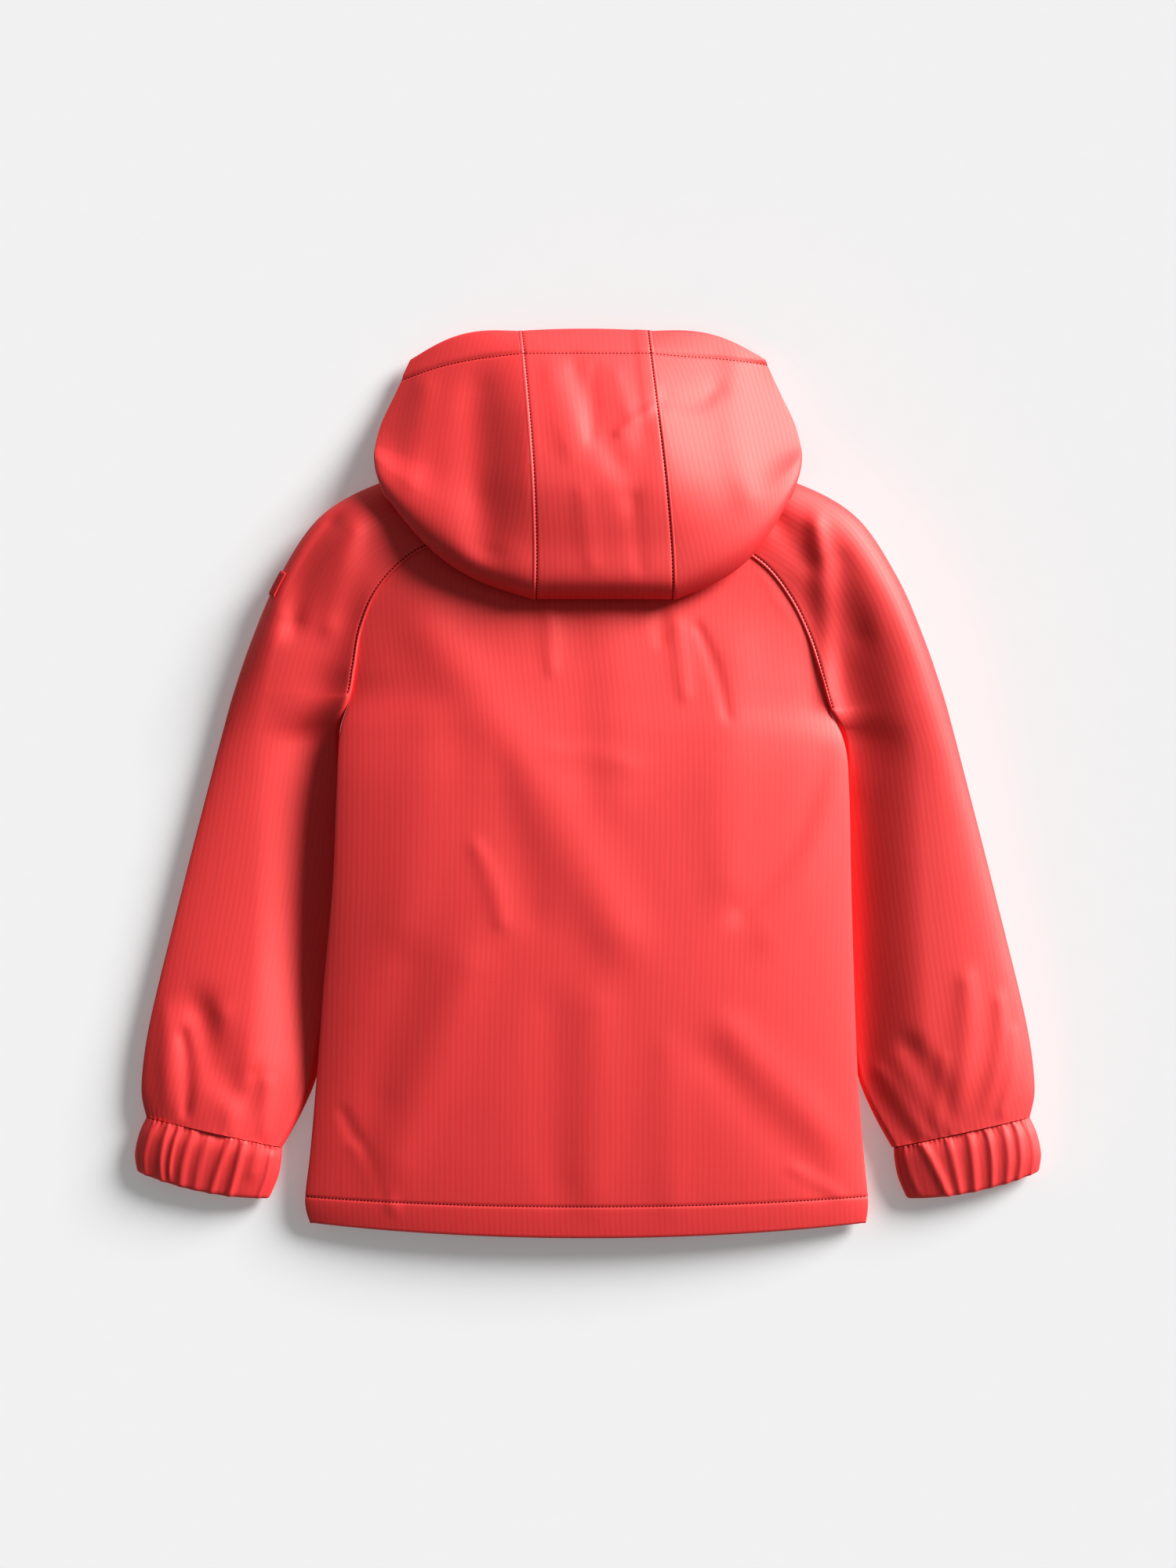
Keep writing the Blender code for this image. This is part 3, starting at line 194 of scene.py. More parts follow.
# The hood's last rows follow the neck seam. Behind, the hood lies folded back on the garment: how far
# each row is behind the seam and above the cloth. In front it runs straight on, and over the shoulder it
# stands off.
NECK_BACK, NECK_RISE = (11.0, 5.5, 0.2), (4.6, 2.0, 0.5)
NECK_AHEAD, NECK_OFF = (8.0, 4.0, 0.4), (5.0, 2.6, 0.5)

# Zip: its tape lies inside the front edges, its chain between them. The slider is at the top, where the
# cloth lies over it, lifted off the surface.
FRONT_EDGE = 5.0  # from the middle to each front edge
TAPE_HALF = 13.0
TAPE = 1.0
CHAIN_LOW = 0.4  # of the teeth above the surface
ZIP_BOTTOM, ZIP_TOP = -281.0, 171.0
LIFT = 6.6  # over the slider and its pull
LIFT_FULL_Y, LIFT_END_Y = (128.0, 176.0), (84.0, 214.0)  # where the lift is whole, and where it ends
LIFT_FULL_X, LIFT_END_X = 15.0, 48.0

# Sleeve patch: a small bare cloth patch sewn round the outer fold of the left sleeve.
PATCH_ROWS = (3.9, 4.3)  # along the sleeve, in rows of its table
PATCH_AROUND = (0.94, 1.13)  # around it, 1 at the outer fold
PATCH, PATCH_OFF = 1.1, 0.35

# Main folds of the upper side, each a soft ridge (height above 0) or trough along a line on plan.
FOLD_COLUMNS = "x0 y0 x1 y1 bend width height"
FOLDS = Table(FOLD_COLUMNS, (
    (-164, 164, -187, 104, -4, 11, -3.2),
    (-148, 158, -164, 102, 0, 9, 1.4),
    (-246, -148, -228, -196, 0, 14, -3.2),
    (-272, -146, -268, -204, 0, 8, 1.4),
    (145, 162, 152, 56, 2, 8, 2.4),
    (120, 166, 142, 140, 0, 11, -2.2),
    (160, 140, 172, 96, 0, 12, -2),
    (206, -170, 230, -212, 0, 10, -2.4),
    (241, -128, 235, -204, 3, 9, 1.5),
    (263, -140, 254, -204, 4, 7, 1.3),
    (-98, 92, 16, -90, 4, 23, 2),
    (-54, 6, -36, -80, 0, 15, -0.8),
    (-102, 34, -118, -86, 3, 20, 0.8),
    (9, 108, 18, -6, 2, 20, 0.7),
    (-5, 102, 0, 10, 0, 18, -0.5),
    (94, 74, 88, -56, -4, 20, 1.1),
    (153, 14, 98, -80, 6, 10, -1.5),
    (166, -6, 116, -94, 5, 14, 0.9),
    (-78, -120, -122, -236, 0, 20, 1.5),
    (-114, -118, -132, -196, 0, 20, -0.9),
    (5, -146, 3, -256, 0, 17, 0.9),
    (-24, -148, -20, -250, 0, 17, -0.7),
    (94, -160, 160, -226, -3, 15, 1.2),
    (80, -178, 146, -250, 0, 15, -0.8),
    (50, -172, 53, -262, 0, 13, 0.5),
))
HOOD_FOLDS = Table(FOLD_COLUMNS, (
    (-8, 259, 17, 204, 0, 11, -1.4),
    (34, 218, 28, 182, 0, 12, -1.2),
    (-22, 258, -12, 214, 0, 10, 1.2),
    (-76, 238, -70, 184, 0, 13, -0.8),
    (50, 243, 80, 250, -6, 8, -1.2),
    (95, 262, 100, 185, -3, 13, 1.5),
    (-104, 250, -112, 196, 0, 11, 1.2),
))

# Finer folds, which only the looks have.
BODY_FINE = Table(FOLD_COLUMNS, (
    (70, 98, 88, 44, 2, 4.5, -0.8),
    (-25, 112, -23, 74, 0, 6, 0.7),
    (46, 112, 46, 92, 0, 6, -0.7),
    (57, 98, 61, 58, 0, 6, 0.8),
    (108, 142, 140, 102, 3, 3.5, 0.5),
    (112, 130, 146, 84, 3, 3.5, 0.5),
    (118, 118, 150, 66, 3, 3.5, 0.4),
    (-156, -210, -130, -262, 0, 5, -0.7),
    (-148, -232, -124, -270, 0, 5, 0.6),
    (-70, -42, -55, -86, 2, 7, 0.7),
    (132, -246, 160, -262, 0, 5, 0.6),
    (-20, 20, 24, 12, 2, 9, 0.4),
))
LEFT_SLEEVE_FINE = Table(FOLD_COLUMNS, (
    (-258, -162, -256, -208, 2, 5, -1.4),
    (-233, -150, -226, -214, -3, 9, 0.9),
    (-212, -186, -222, -216, 3, 6, -0.9),
    (-204, -192, -206, -222, 0, 5, 0.8),
))
RIGHT_SLEEVE_FINE = Table(FOLD_COLUMNS, (
    (186, -184, 212, -222, 0, 6, 1.2),
    (272, -160, 264, -208, 2, 5, 0.9),
    (226, -176, 222, -214, 0, 5, 0.6),
))
SLEEVE_FINE = {-1: LEFT_SLEEVE_FINE, 1: RIGHT_SLEEVE_FINE}
HOOD_FINE = Table(FOLD_COLUMNS, (
    (-68, 246, -65, 148, 0, 17, -2.8),
    (20, 221, 42, 238, 0, 3.5, 0.9),
    (-14, 262, -4, 216, 0, 6, 0.6),
    (4, 262, 2, 220, 0, 5, -0.5),
    (18, 258, 26, 232, 0, 6, 0.7),
    (28, 176, 33, 136, 0, 6, -0.5),
    (-4, 180, 2, 140, 0, 7, 0.5),
))

# Gathers of the elastic cuffs: soft ridges from the seam to the edge. Places run from the outer fold (0)
# to the inner one (1), at the seam and at the edge; start and end are along the cuff, 0 at the seam.
GATHER_COLUMNS = "at_seam at_edge width height start end"
LEFT_GATHERS = Table(GATHER_COLUMNS, (
    (0.08, 0.06, 0.026, 0.9, 0, 1),
    (0.18, 0.19, 0.024, 1.1, 0, 1),
    (0.26, 0.25, 0.018, 1, 0, 0.8),
    (0.37, 0.33, 0.030, 1.1, 0, 1),
    (0.49, 0.44, 0.034, 0.8, 0.2, 1),
    (0.64, 0.56, 0.028, 1.2, 0, 1),
    (0.73, 0.70, 0.028, 1.5, 0, 1),
    (0.84, 0.81, 0.040, 0.7, 0, 0.6),
    (0.93, 0.92, 0.018, 0.6, 0.3, 1),
))
RIGHT_GATHERS = Table(GATHER_COLUMNS, (
    (0.04, 0.06, 0.020, 0.7, 0, 1),
    (0.12, 0.16, 0.024, 1, 0, 1),
    (0.21, 0.25, 0.028, 1, 0, 1),
    (0.33, 0.36, 0.024, 1.1, 0, 0.9),
    (0.46, 0.49, 0.032, 1.2, 0, 1),
    (0.62, 0.60, 0.030, 1, 0.1, 1),
    (0.81, 0.69, 0.036, 1.4, 0, 1),
    (0.94, 0.90, 0.030, 0.5, 0, 0.8),
))
SEEN_GATHERS = {-1: LEFT_GATHERS, 1: RIGHT_GATHERS}
UNDER_GATHERS = Table(GATHER_COLUMNS, (
    (0.10, 0.12, 0.024, 1, 0, 1),
    (0.21, 0.20, 0.022, 1.2, 0, 1),
    (0.33, 0.36, 0.026, 1, 0, 1),
    (0.45, 0.44, 0.020, 1.2, 0, 0.8),
    (0.56, 0.60, 0.028, 1.1, 0, 1),
    (0.69, 0.70, 0.022, 1, 0, 1),
    (0.81, 0.84, 0.024, 0.9, 0.1, 1),
    (0.92, 0.92, 0.020, 0.7, 0, 1),
))
PUCKERS = 29  # small gathers along the cuff seam
PUCKER_HEIGHT, PUCKER_REACH = 0.42, 3.2

# Sewing: the welt beside a seam, its topstitch, and the two hems.
NEAR_SEAM = np.array((0.0, 0.35, 0.7, 1.05, 1.4, 1.75, 2.15, 2.5, 2.85, 3.3, 4.2, 5.6))
WELT_AT, WELT_HALF, WELT_HEIGHT = 1.1, 0.85, 0.3
STITCH_COLUMN = 7  # of NEAR_SEAM
GROOVE, GROOVE_HALF = 0.45, 0.6
STITCH_PITCH, STITCH_LENGTH, STITCH_RADIUS = 2.3, 1.4, 0.36
HEM_ROW = 1.1  # where the body hem's stitching crosses the table's rows
HEM_PLACES = (0, 0.03, 0.07, 0.13, 0.22, 0.34, 0.48, 0.62, 0.76, 0.88, 0.96,
              1.02, 1.05, 1.075, HEM_ROW, 1.125, 1.15, 1.18, 1.21)
HOOD_HEM_ROW, HOOD_HEM_FOLD = 0.90, {-1: 0.67, 1: 0.27}
SPACING = 2.4  # between the points of a panel

CORAL = (0.86, 0.030, 0.042, 1.0)
# Stitch thread colour, far darker than the cloth: painted shade for the shadowed stitch holes; the thread
# itself is the cloth's coral.
THREAD_PAINTED_SHADE = (0.10, 0.004, 0.006, 1.0)
TAPE_CORAL = (0.62, 0.045, 0.045, 1.0)
TOOTH_CORAL = (0.66, 0.05, 0.05, 1.0)
PATCH_CORAL = (0.70, 0.045, 0.045, 1.0)
GUNMETAL = (0.20, 0.20, 0.21, 1.0)


def smooth_step(x):
    x = np.clip(x, 0.0, 1.0)
    return x * x * (3 - 2 * x)


def quarter_round(x):
    """0 to 1 along a quarter circle that starts upright, and 1 after it."""
    return np.sqrt(np.maximum(0.0, 1 - (1 - np.clip(x, 0.0, 1.0)) ** 2))


def between(a, b, t):
    return a + (b - a) * t


def points(x, y, z):
    return np.stack(np.broadcast_arrays(x, y, z), axis=-1).astype(float)


def unit(way):
    return way / np.maximum(np.linalg.norm(way, axis=-1, keepdims=True), 1e-9)


def run(path):
    """How far along a path each of its points is."""
    return np.concatenate(([0.0], np.cumsum(np.linalg.norm(np.diff(path, axis=0), axis=1))))


def places_on(path, length, at):
    """Places on a path, at set lengths along it."""
    return np.stack([np.interp(at, length, path[:, axis]) for axis in range(3)], axis=-1)


def zip_lift(x, y):
    """How far the front is lifted off the surface by the slider and its pull."""
    along = smooth_step((y - LIFT_END_Y[0]) / (LIFT_FULL_Y[0] - LIFT_END_Y[0]))
    along = along * smooth_step((LIFT_END_Y[1] - y) / (LIFT_END_Y[1] - LIFT_FULL_Y[1]))
    return LIFT * along * smooth_step((LIFT_END_X - np.abs(x)) / (LIFT_END_X - LIFT_FULL_X))


def relief(folds, places):
    """The height that a table of folds adds at places on plan: soft lines that bow to their left by bend."""
    x, y = places[..., 0], places[..., 1]
    height = np.zeros(x.shape)
    for n in range(len(folds.rows)):
        fold = folds(n)
        run_x, run_y = fold["x1"] - fold["x0"], fold["y1"] - fold["y0"]
        length = np.hypot(run_x, run_y)
        along = ((x - fold["x0"]) * run_x + (y - fold["y0"]) * run_y) / length ** 2
        aside = ((y - fold["y0"]) * run_x - (x - fold["x0"]) * run_y) / length
        held = np.clip(along, 0, 1)
        aside = aside - fold["bend"] * 4 * held * (1 - held)
        beyond = np.abs(along - held) * length
        width = fold["width"] * (0.75 + 0.25 * np.sin(math.pi * held))
        height = height + fold["height"] * np.exp(-(aside / width) ** 2 - (beyond / (1.4 * width)) ** 2)
    return height


# ---------------------------------------------------------------- surfaces

def side_point(row, side, front=False):
    """A point of the left (-1) or right (1) edge of the body: its side seam, then its raglan seam."""
    name = SIDE_NAME[side]
    row = np.asarray(row, float)
    edge = BODY(row)
    x, y, z = (edge[name + axis] for axis in ("_x", "_y", "_z"))
    if front:
        raglan = FRONT_RAGLAN(row - UNDERARM)
        above = row > UNDERARM
        x = np.where(above, raglan[name + "_x"], x)
        y = np.where(above, raglan[name + "_y"], y)
        z = np.where(above, raglan[name + "_z"], z)
    return points(x, y, np.maximum(z, 0.0))


def back_surface(row, across):
    """The outside of the back panel: row from hem to neck, across from the left edge (0) to the right (1)."""
    left, right, section = side_point(row, -1), side_point(row, 1), BODY(row)
    edge = between(left, right, across[..., None])
    bow = section["mid_y"] - (left[..., 1] + right[..., 1]) / 2
    rise = section["crest"] - (left[..., 2] + right[..., 2]) / 2
    dome = np.maximum(0.0, 1 - np.abs(2 * across - 1) ** DOME) ** section["fullness"]
    edge[..., 1] += bow * 4 * across * (1 - across)
    edge[..., 2] += rise * dome
    in_from_side = between(1.0, smooth_step(np.minimum(across, 1 - across) * 10), smooth_step(UNDERARM - row))
    edge[..., 2] += relief(FOLDS, edge) * in_from_side
    return edge


def front_surface(row, across, side):
    """The outside of one front: across from its side or raglan edge (0) to its front edge (1)."""
    outer, section = side_point(row, side, front=True), BODY(row)
    x = between(outer[..., 0], side * FRONT_EDGE, across)
    y = between(outer[..., 1], section["front_y"], smooth_step(across) * 0.5 + across * 0.5)
    run_in = np.abs(x - outer[..., 0])
    z = outer[..., 2] * (1 - quarter_round(run_in / SIDE_ROLL)) + zip_lift(x, y)
    return points(x, y, z)


def sleeve_edges(row, side):
    """The two edges and the outer fold of a sleeve at a row: upper edge, fold, lower edge."""
    row = np.asarray(row, float)
    body_row = NECK - row
    upper, lower = side_point(body_row, side), side_point(body_row, side, front=True)
    seam = UNDERARM_SEAM(row - ARMHOLE_ROWS - 1)
    start = side_point(UNDERARM, side)
    first = smooth_step((row - ARMHOLE_ROWS) / UNDERARM_BLEND)
    seam_y = between(start[1], seam["y"], first)
    name = SIDE_NAME[side]
    sides = BODY(np.linspace(0, UNDERARM, 60))
    side_x = np.interp(seam_y, sides[name + "_y"], sides[name + "_x"])
    seam_x = side_x - side * seam["tuck"] * first
    seam_z = between(start[2], seam["z"], first ** 1.7)
    under = points(seam_x, seam_y, seam_z)
    below = (row > ARMHOLE_ROWS)[..., None]
    out = SLEEVE(row)
    fold = points(side * out["out_x"], out["out_y"], out[name + "_z"])
    return np.where(below, under, upper), fold, np.where(below, under, lower)


def sleeve_surface(row, around, side):
    """The outside of a sleeve: around from its upper edge (0) over its fold (1) to its lower edge (2)."""
    upper, fold, lower = sleeve_edges(row, side)
    section = SLEEVE(row)
    on_top = around <= 1
    t = np.where(on_top, around, 2 - around)
    inner = np.where(on_top[..., None], upper, lower)
    place = between(inner, fold, t[..., None])
    width = np.linalg.norm((fold - inner)[..., :2], axis=-1)
    from_edge, from_fold = t * width, (1 - t) * width
    name = SIDE_NAME[side]
    crest, crest_at, roll = (section[name + part] for part in ("_crest", "_at", "_roll"))
    sunk = smooth_step((row - SUNK_ROWS[0]) / 2.5) * smooth_step((SUNK_ROWS[1] - row) / 5)
    roll, climb = between(roll, SUNK[side][0], sunk), between(0.9, SUNK[side][1], sunk)
    rise = inner[..., 2] + roll * quarter_round(from_edge / np.maximum(roll, 2.0))
    rise = rise + (crest - inner[..., 2] - roll) * smooth_step(t / crest_at) ** climb
    rise = rise - section["dip"] * np.sin(math.pi * np.clip(t / crest_at, 0, 1) ** DIP_NEAR) ** 2
    beyond = np.clip((t - crest_at) / (1 - crest_at), 0, 1)
    square, steep = SLEEVE_FALL[side]
    fall = fold[..., 2] + (crest - fold[..., 2]) * np.maximum(0, 1 - beyond ** square) ** steep
    top = np.where(t < crest_at, rise, fall)
    low_roll = np.maximum(inner[..., 2], 4.0)
    low = fold[..., 2] * (1 - quarter_round(from_fold / SLEEVE_ROLL))
    low = low + inner[..., 2] * (1 - quarter_round(from_edge / low_roll))
    in_from_edge = between(1.0, smooth_step(t * 6), smooth_step(row - ARMHOLE_ROWS))
    in_from_edge = in_from_edge * smooth_step((1 - t) * 6)
    folds = relief(FOLDS, place) * in_from_edge
    top = top + folds * smooth_step((CUFF_SEAM - row) / 2)
    place[..., 2] = np.where(on_top, top, low)
    return place


def cuff_surface(row, around, side):
    """The outside of a cuff: around from its inner fold (0) over the top to the outer one (0.5) and back."""
    section = CUFF(row)
    across = -np.cos(2 * math.pi * around)  # -1 at the inner fold, 1 at the outer one
    on_top = around <= 0.5
    t = (across + 1) / 2
    x = side * between(section["in_x"], section["out_x"], t)
    y = between(section["in_y"], section["out_y"], t) - section["bow"] * (1 - across ** 2)
    arch = np.sqrt(np.maximum(0.0, 1 - np.abs(across) ** 3))
    floor = np.sqrt(np.maximum(0.0, 1 - np.abs(across) ** 8))
    top = section["mid_z"] + (section["height"] - section["mid_z"]) * arch
    low = section["mid_z"] - (section["mid_z"] - GATHER_DEPTH) * floor
    return points(x, y, np.where(on_top, top, low))


def curve(knots, rows, at):
    """Points at places `at` of a smooth curve through rows of points that lie at the given knots."""
    place = np.interp(at, knots, np.arange(len(knots)))
    i = np.clip(place.astype(int), 0, len(knots) - 2)
    f = (place - i)[..., None]

    def row_at(n):
        n = np.clip(n, 0, len(knots) - 1)
        n = np.broadcast_to(n[None, ..., None], (1,) + rows.shape[1:])
        return np.take_along_axis(rows, n, axis=0)[0]

    return on_curve(row_at(i - 1), row_at(i), row_at(i + 1), row_at(i + 2), f)


def across_neck(x):
    left, right = BODY.rows[NECK, [0, 3]]
    return (x - left) / (right - left)


def neck_edge(around, side):
    """The garment's neck edge, from the hood's seam (0) past the shoulder (1.4) to the front edge (2)."""
    fine = np.linspace(0, 1, 41)
    places = between(across_neck(side * HOOD_SEAM_X), 0.0 if side < 0 else 1.0, fine)
    back = back_surface(np.full(41, float(NECK)), places)
    sleeve = sleeve_surface(np.zeros(81), np.linspace(0, 2, 81), side)
    front = front_surface(np.full(41, float(NECK)), fine, side)
    path = np.concatenate((back, sleeve[1:], front[1:]))
    length = run(path)
    shoulder, end = length[80], length[-1]
    stops = (0.0, 0.6 * shoulder, 0.85 * shoulder, shoulder, between(shoulder, end, 0.3), end)
    along = np.interp(around, HOOD_KNOTS, stops)
    return places_on(path, length, along)


def neck_rows(edge, ahead_way, level, shoulder, side):
    """The hood's last rows. level is 1 where it is folded back, 0 where it runs on, shoulder 1 between."""
    rows = []
    for back, rise, ahead, off in zip(NECK_BACK, NECK_RISE, NECK_AHEAD, NECK_OFF):
        reach = between(ahead, -back, level) * (1 - shoulder)
        aside = points(side * 0.3 * off * shoulder, 0.95 * off * shoulder, rise * level * (1 - shoulder))
        rows.append(edge + ahead_way * reach[..., None] + aside)
    return rows


def hood_rows_side(around, side):
    """Control rows of a hood side panel, at the given places from its seam (0) to its front edge (2)."""
    t = np.clip(around, 0, 1)
    rows = []
    for n in range(len(HOOD.rows)):
        row = HOOD(n)
        seam = points(row[SIDE_NAME[side] + "_x"], row["seam_y"], row["seam_z"])
        fold, drop, tip = (points(side * row[at + "_x"], row[at + "_y"], row[at + "_z"])
                           for at in ("fold", "drop", "tip"))
        under = points(side * row["under_x"], row["under_y"], 0.0)
        chin = points(side * FRONT_EDGE, row["chin_y"], 0.0)
        top = between(seam, fold, t[..., None])
        out = np.array((seam[1] - fold[1], fold[0] - seam[0])) * side
        out = out / np.linalg.norm(out) * row["bow"]
        top[..., 0] += out[0] * np.sin(math.pi * t)
        top[..., 1] += out[1] * np.sin(math.pi * t)
        fall = seam[2] - fold[2]
        near_neck = smooth_step((n - 2.5) / 2)
        square, steep = (between(a, b, near_neck) for a, b in zip(CROWN_SLOPE, NECK_SLOPE))
        rise = fall * np.maximum(0.0, 1 - t ** square) ** steep
        top[..., 2] = fold[2] + rise + row["puff"] * np.sin(math.pi * t)
        inward = (drop - fold) * np.array((1.0, 1.0, 0.0))
        inward = inward / np.linalg.norm(inward) * row["turn"] * 0.7
        turn, round_it = np.array((0.0, 0.0, row["turn"])), min(1.0, row["turn"] / 4)
        before = between(between(fold, seam, 0.2), fold + inward + turn, round_it)
        after = between(between(fold, drop, 0.35), fold + inward - turn, round_it)
        stops = (before, fold, after, drop, tip, under, chin)
        stops = np.stack([np.broadcast_to(p, around.shape + (3,)) for p in stops])
        low = curve((0.9, 1.0, 1.1) + HOOD_KNOTS[2:], stops, around)
        low[..., 2] += zip_lift(low[..., 0], low[..., 1]) * smooth_step(around * 4 - 6)
        rows.append(np.where((around <= 1)[..., None], top, low))
    edge = neck_edge(around, side)
    step = neck_edge(np.minimum(around + 0.02, 2.0), side) - neck_edge(np.maximum(around - 0.02, 0.0), side)
    turned = np.where(around <= HOOD_KNOTS[3], -side, side)
    way = points(turned * step[..., 1], -turned * step[..., 0], 0.0)
    way = unit(way)
    level = 1 - smooth_step((around - 1.1) / 0.3)
    shoulder = np.exp(-((around - HOOD_KNOTS[3]) / 0.08) ** 2)
    return np.stack(rows + neck_rows(edge, way, level, shoulder, side))


def hood_rows_centre(across):
    """Control rows of the hood's centre panel, at places from its left seam (0) to its right one (1)."""
    arch = 4 * across * (1 - across)
    rows = []
    for n in range(len(HOOD.rows)):
        row = HOOD(n)
        raised = 2.0 if 0 < n < 6 else 0.0
        rows.append(points(between(row["left_x"], row["right_x"], across),
                           row["seam_y"] + (1.5 * arch if n == 0 else 0.0),
                           row["seam_z"] + raised * arch))
    place = across_neck(between(-HOOD_SEAM_X, HOOD_SEAM_X, across))
    edge = back_surface(np.full(across.shape, float(NECK)), place)
    folded_back = np.ones(across.shape)
    return np.stack(rows + neck_rows(edge, np.array((0.0, 1.0, 0.0)), folded_back, 0 * folded_back, 1))


def hood_surface(row, rows, around=0.0):
    """The outside of a hood panel at a row position between its control rows."""
    place = curve(np.arange(len(rows)), rows, row)
    upper = smooth_step((HOOD_FOLD_END - row) / 1.5) * smooth_step((1 - around) * 6)
    place[..., 2] += relief(HOOD_FOLDS, place) * upper
    place[..., 2] = np.maximum(place[..., 2], 0.0)
    return place


# ---------------------------------------------------------------- sewing and fine folds

def bell(distance, half):
    return np.exp(-(distance / half) ** 2)


def welt(distance):
    """Height of the welt beside a seam, with the groove that its topstitch pulls in."""
    groove = GROOVE * bell(distance - NEAR_SEAM[STITCH_COLUMN], GROOVE_HALF)
    return WELT_HEIGHT * bell(distance - WELT_AT, WELT_HALF) - groove


def gather_relief(place, along, seen, side):
    """Height of a cuff's gathers: place 0 at the outer fold and 1 at the inner one, along 0 at its seam."""
    def ridges(table):
        height = np.zeros(np.shape(place))
        for n in range(len(table.rows)):
            fold = table(n)
            line = between(fold["at_seam"], fold["at_edge"], along)
            live = smooth_step((along - fold["start"]) * 6 + 1) * smooth_step((fold["end"] - along) * 5 + 1)
            height = height + fold["height"] * bell(place - line, fold["width"]) * live
        return height

    return np.where(seen, ridges(SEEN_GATHERS[side]), ridges(UNDER_GATHERS)) - 0.5


def puckers(place, from_seam):
    """Small gathers that the elastic pulls into the cloth on both sides of the cuff seam."""
    wave = np.sin(2 * math.pi * PUCKERS * place + 2.2 * np.sin(9 * place) + 1.1 * np.sin(23 * place))
    strength = 0.55 + 0.45 * np.sin(11 * place + 1) ** 2
    return PUCKER_HEIGHT * wave * strength * np.exp(-from_seam / PUCKER_REACH)


# ---------------------------------------------------------------- grids

def eased(count):
    """Places from 0 to 1 that lie closer together at both ends."""
    return (1 - np.cos(math.pi * np.arange(count + 1) / count)) / 2


def eased_end(count):
    """Places from 0 to 1 that lie closer together towards 1."""
    return np.sin(math.pi / 2 * np.arange(count + 1) / count)


def stops(lengths, spacing=SPACING, first=0.0):
    """Row positions that divide rows of the given lengths about evenly."""
    counts = np.ceil(np.array(lengths) / spacing).astype(int)
    parts = [n + np.arange(count) / count for n, count in enumerate(counts)]
    rows = np.concatenate(parts + [[len(lengths)]])
    return rows[rows >= first]


def normals(grid, flip, ring=False):
    along = np.gradient(grid, axis=0)
    if ring:
        across = (np.roll(grid, -1, axis=1) - np.roll(grid, 1, axis=1)) / 2
    else:
        across = np.gradient(grid, axis=1)
    return unit(np.cross(across, along) * flip)


def calmed(way, times, ring=False):
    """Directions evened out between neighbours, for tight folds."""
    for _ in range(times):
        wide = np.pad(way, ((1, 1), (0, 0), (0, 0)), mode="edge")
        wide = np.pad(wide, ((0, 0), (1, 1), (0, 0)), mode="wrap" if ring else "edge")
        way = unit(way * 2 + wide[:-2, 1:-1] + wide[2:, 1:-1] + wide[1:-1, :-2] + wide[1:-1, 2:])
    return way


def cloth_places(grid, column):
    """Places in the flat cloth: across from a column that the ribs follow, along from the first row."""
    steps = np.linalg.norm(np.diff(grid, axis=1), axis=-1)
    across = np.concatenate((np.zeros((len(grid), 1)), np.cumsum(steps, axis=1)), axis=1)
    across = across - across[:, [column]]
    along = run(grid[:, column])
    return across, np.broadcast_to(along[:, None], across.shape)


# ---------------------------------------------------------------- making pieces

def make_piece(name, verts, faces, material, smooth=True):
    mesh = bpy.data.meshes.new(name)
    mesh.from_pydata((np.asarray(verts) * MM).tolist(), [], faces)
    mesh.materials.append(material)
    if smooth:
        mesh.shade_smooth()
    mesh.update()
    piece = bpy.data.objects.new(name, mesh)
    bpy.context.scene.collection.objects.link(piece)
    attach(piece, "garment")
    return piece


def shell(name, outer, inner, material, column, ring=False):
    """One closed cloth panel between its outer and inner points, with its places in the flat cloth."""
    rows, columns = outer.shape[:2]
    count = rows * columns
    last = columns if ring else columns - 1
    i, j = (g.ravel() for g in np.meshgrid(np.arange(rows - 1), np.arange(last), indexing="ij"))
    k = (j + 1) % columns
    quads = np.stack((i * columns + j, i * columns + k, (i + 1) * columns + k, (i + 1) * columns + j), axis=1)
    j, k = np.arange(last), (np.arange(last) + 1) % columns
    faces = [quads, quads[:, ::-1] + count]
    end = (rows - 1) * columns
    faces.append(np.stack((k, j, j + count, k + count), axis=1))
    faces.append(np.stack((end + j, end + k, end + k + count, end + j + count), axis=1))
    if not ring:
        i = np.arange(rows - 1) * columns
        up = i + columns
        faces.append(np.stack((i, up, up + count, i + count), axis=1))
        i, up = i + columns - 1, up + columns - 1
        faces.append(np.stack((up, i, i + count, up + count), axis=1))
    faces = np.concatenate(faces)
    verts = np.concatenate((outer.reshape(-1, 3), inner.reshape(-1, 3)))
    volume = np.einsum("ij,ij->", verts[faces[:, 0]], np.cross(verts[faces[:, 1]], verts[faces[:, 2]]))
    volume += np.einsum("ij,ij->", verts[faces[:, 0]], np.cross(verts[faces[:, 2]], verts[faces[:, 3]]))
    if volume < 0:
        faces = faces[:, ::-1]
    piece = make_piece(name, verts, faces.tolist(), material)
    piece.data.set_sharp_from_angle(angle=math.radians(60))
    across, along = cloth_places(outer, column)
    flat = points(np.tile(across.ravel(), 2), np.tile(along.ravel(), 2), 0.0)
    cloth = piece.data.attributes.new("cloth", "FLOAT_VECTOR", "POINT")
    cloth.data.foreach_set("vector", flat.astype(np.float32).ravel())
    return piece


def wall(base, detail, flip, edges=(), calm=2, ring=False):
    """Outer and inner points of a panel: detail is the height that seams and folds add along its normals."""
    way = calmed(normals(base, flip, ring), calm, ring)
    outer = base + way * detail[..., None]
    inward = -way
    for index, direction in edges:
        inward[index] = direction
    return outer, base + CLOTH * inward


def close_up(outer, inner, columns):
    """Draws the edge points of sewn columns in by a hair."""
    for edge, beside in columns:
        way = unit(outer[beside] - outer[edge]) * HAIR
        outer[edge] += way
        inner[edge] += way


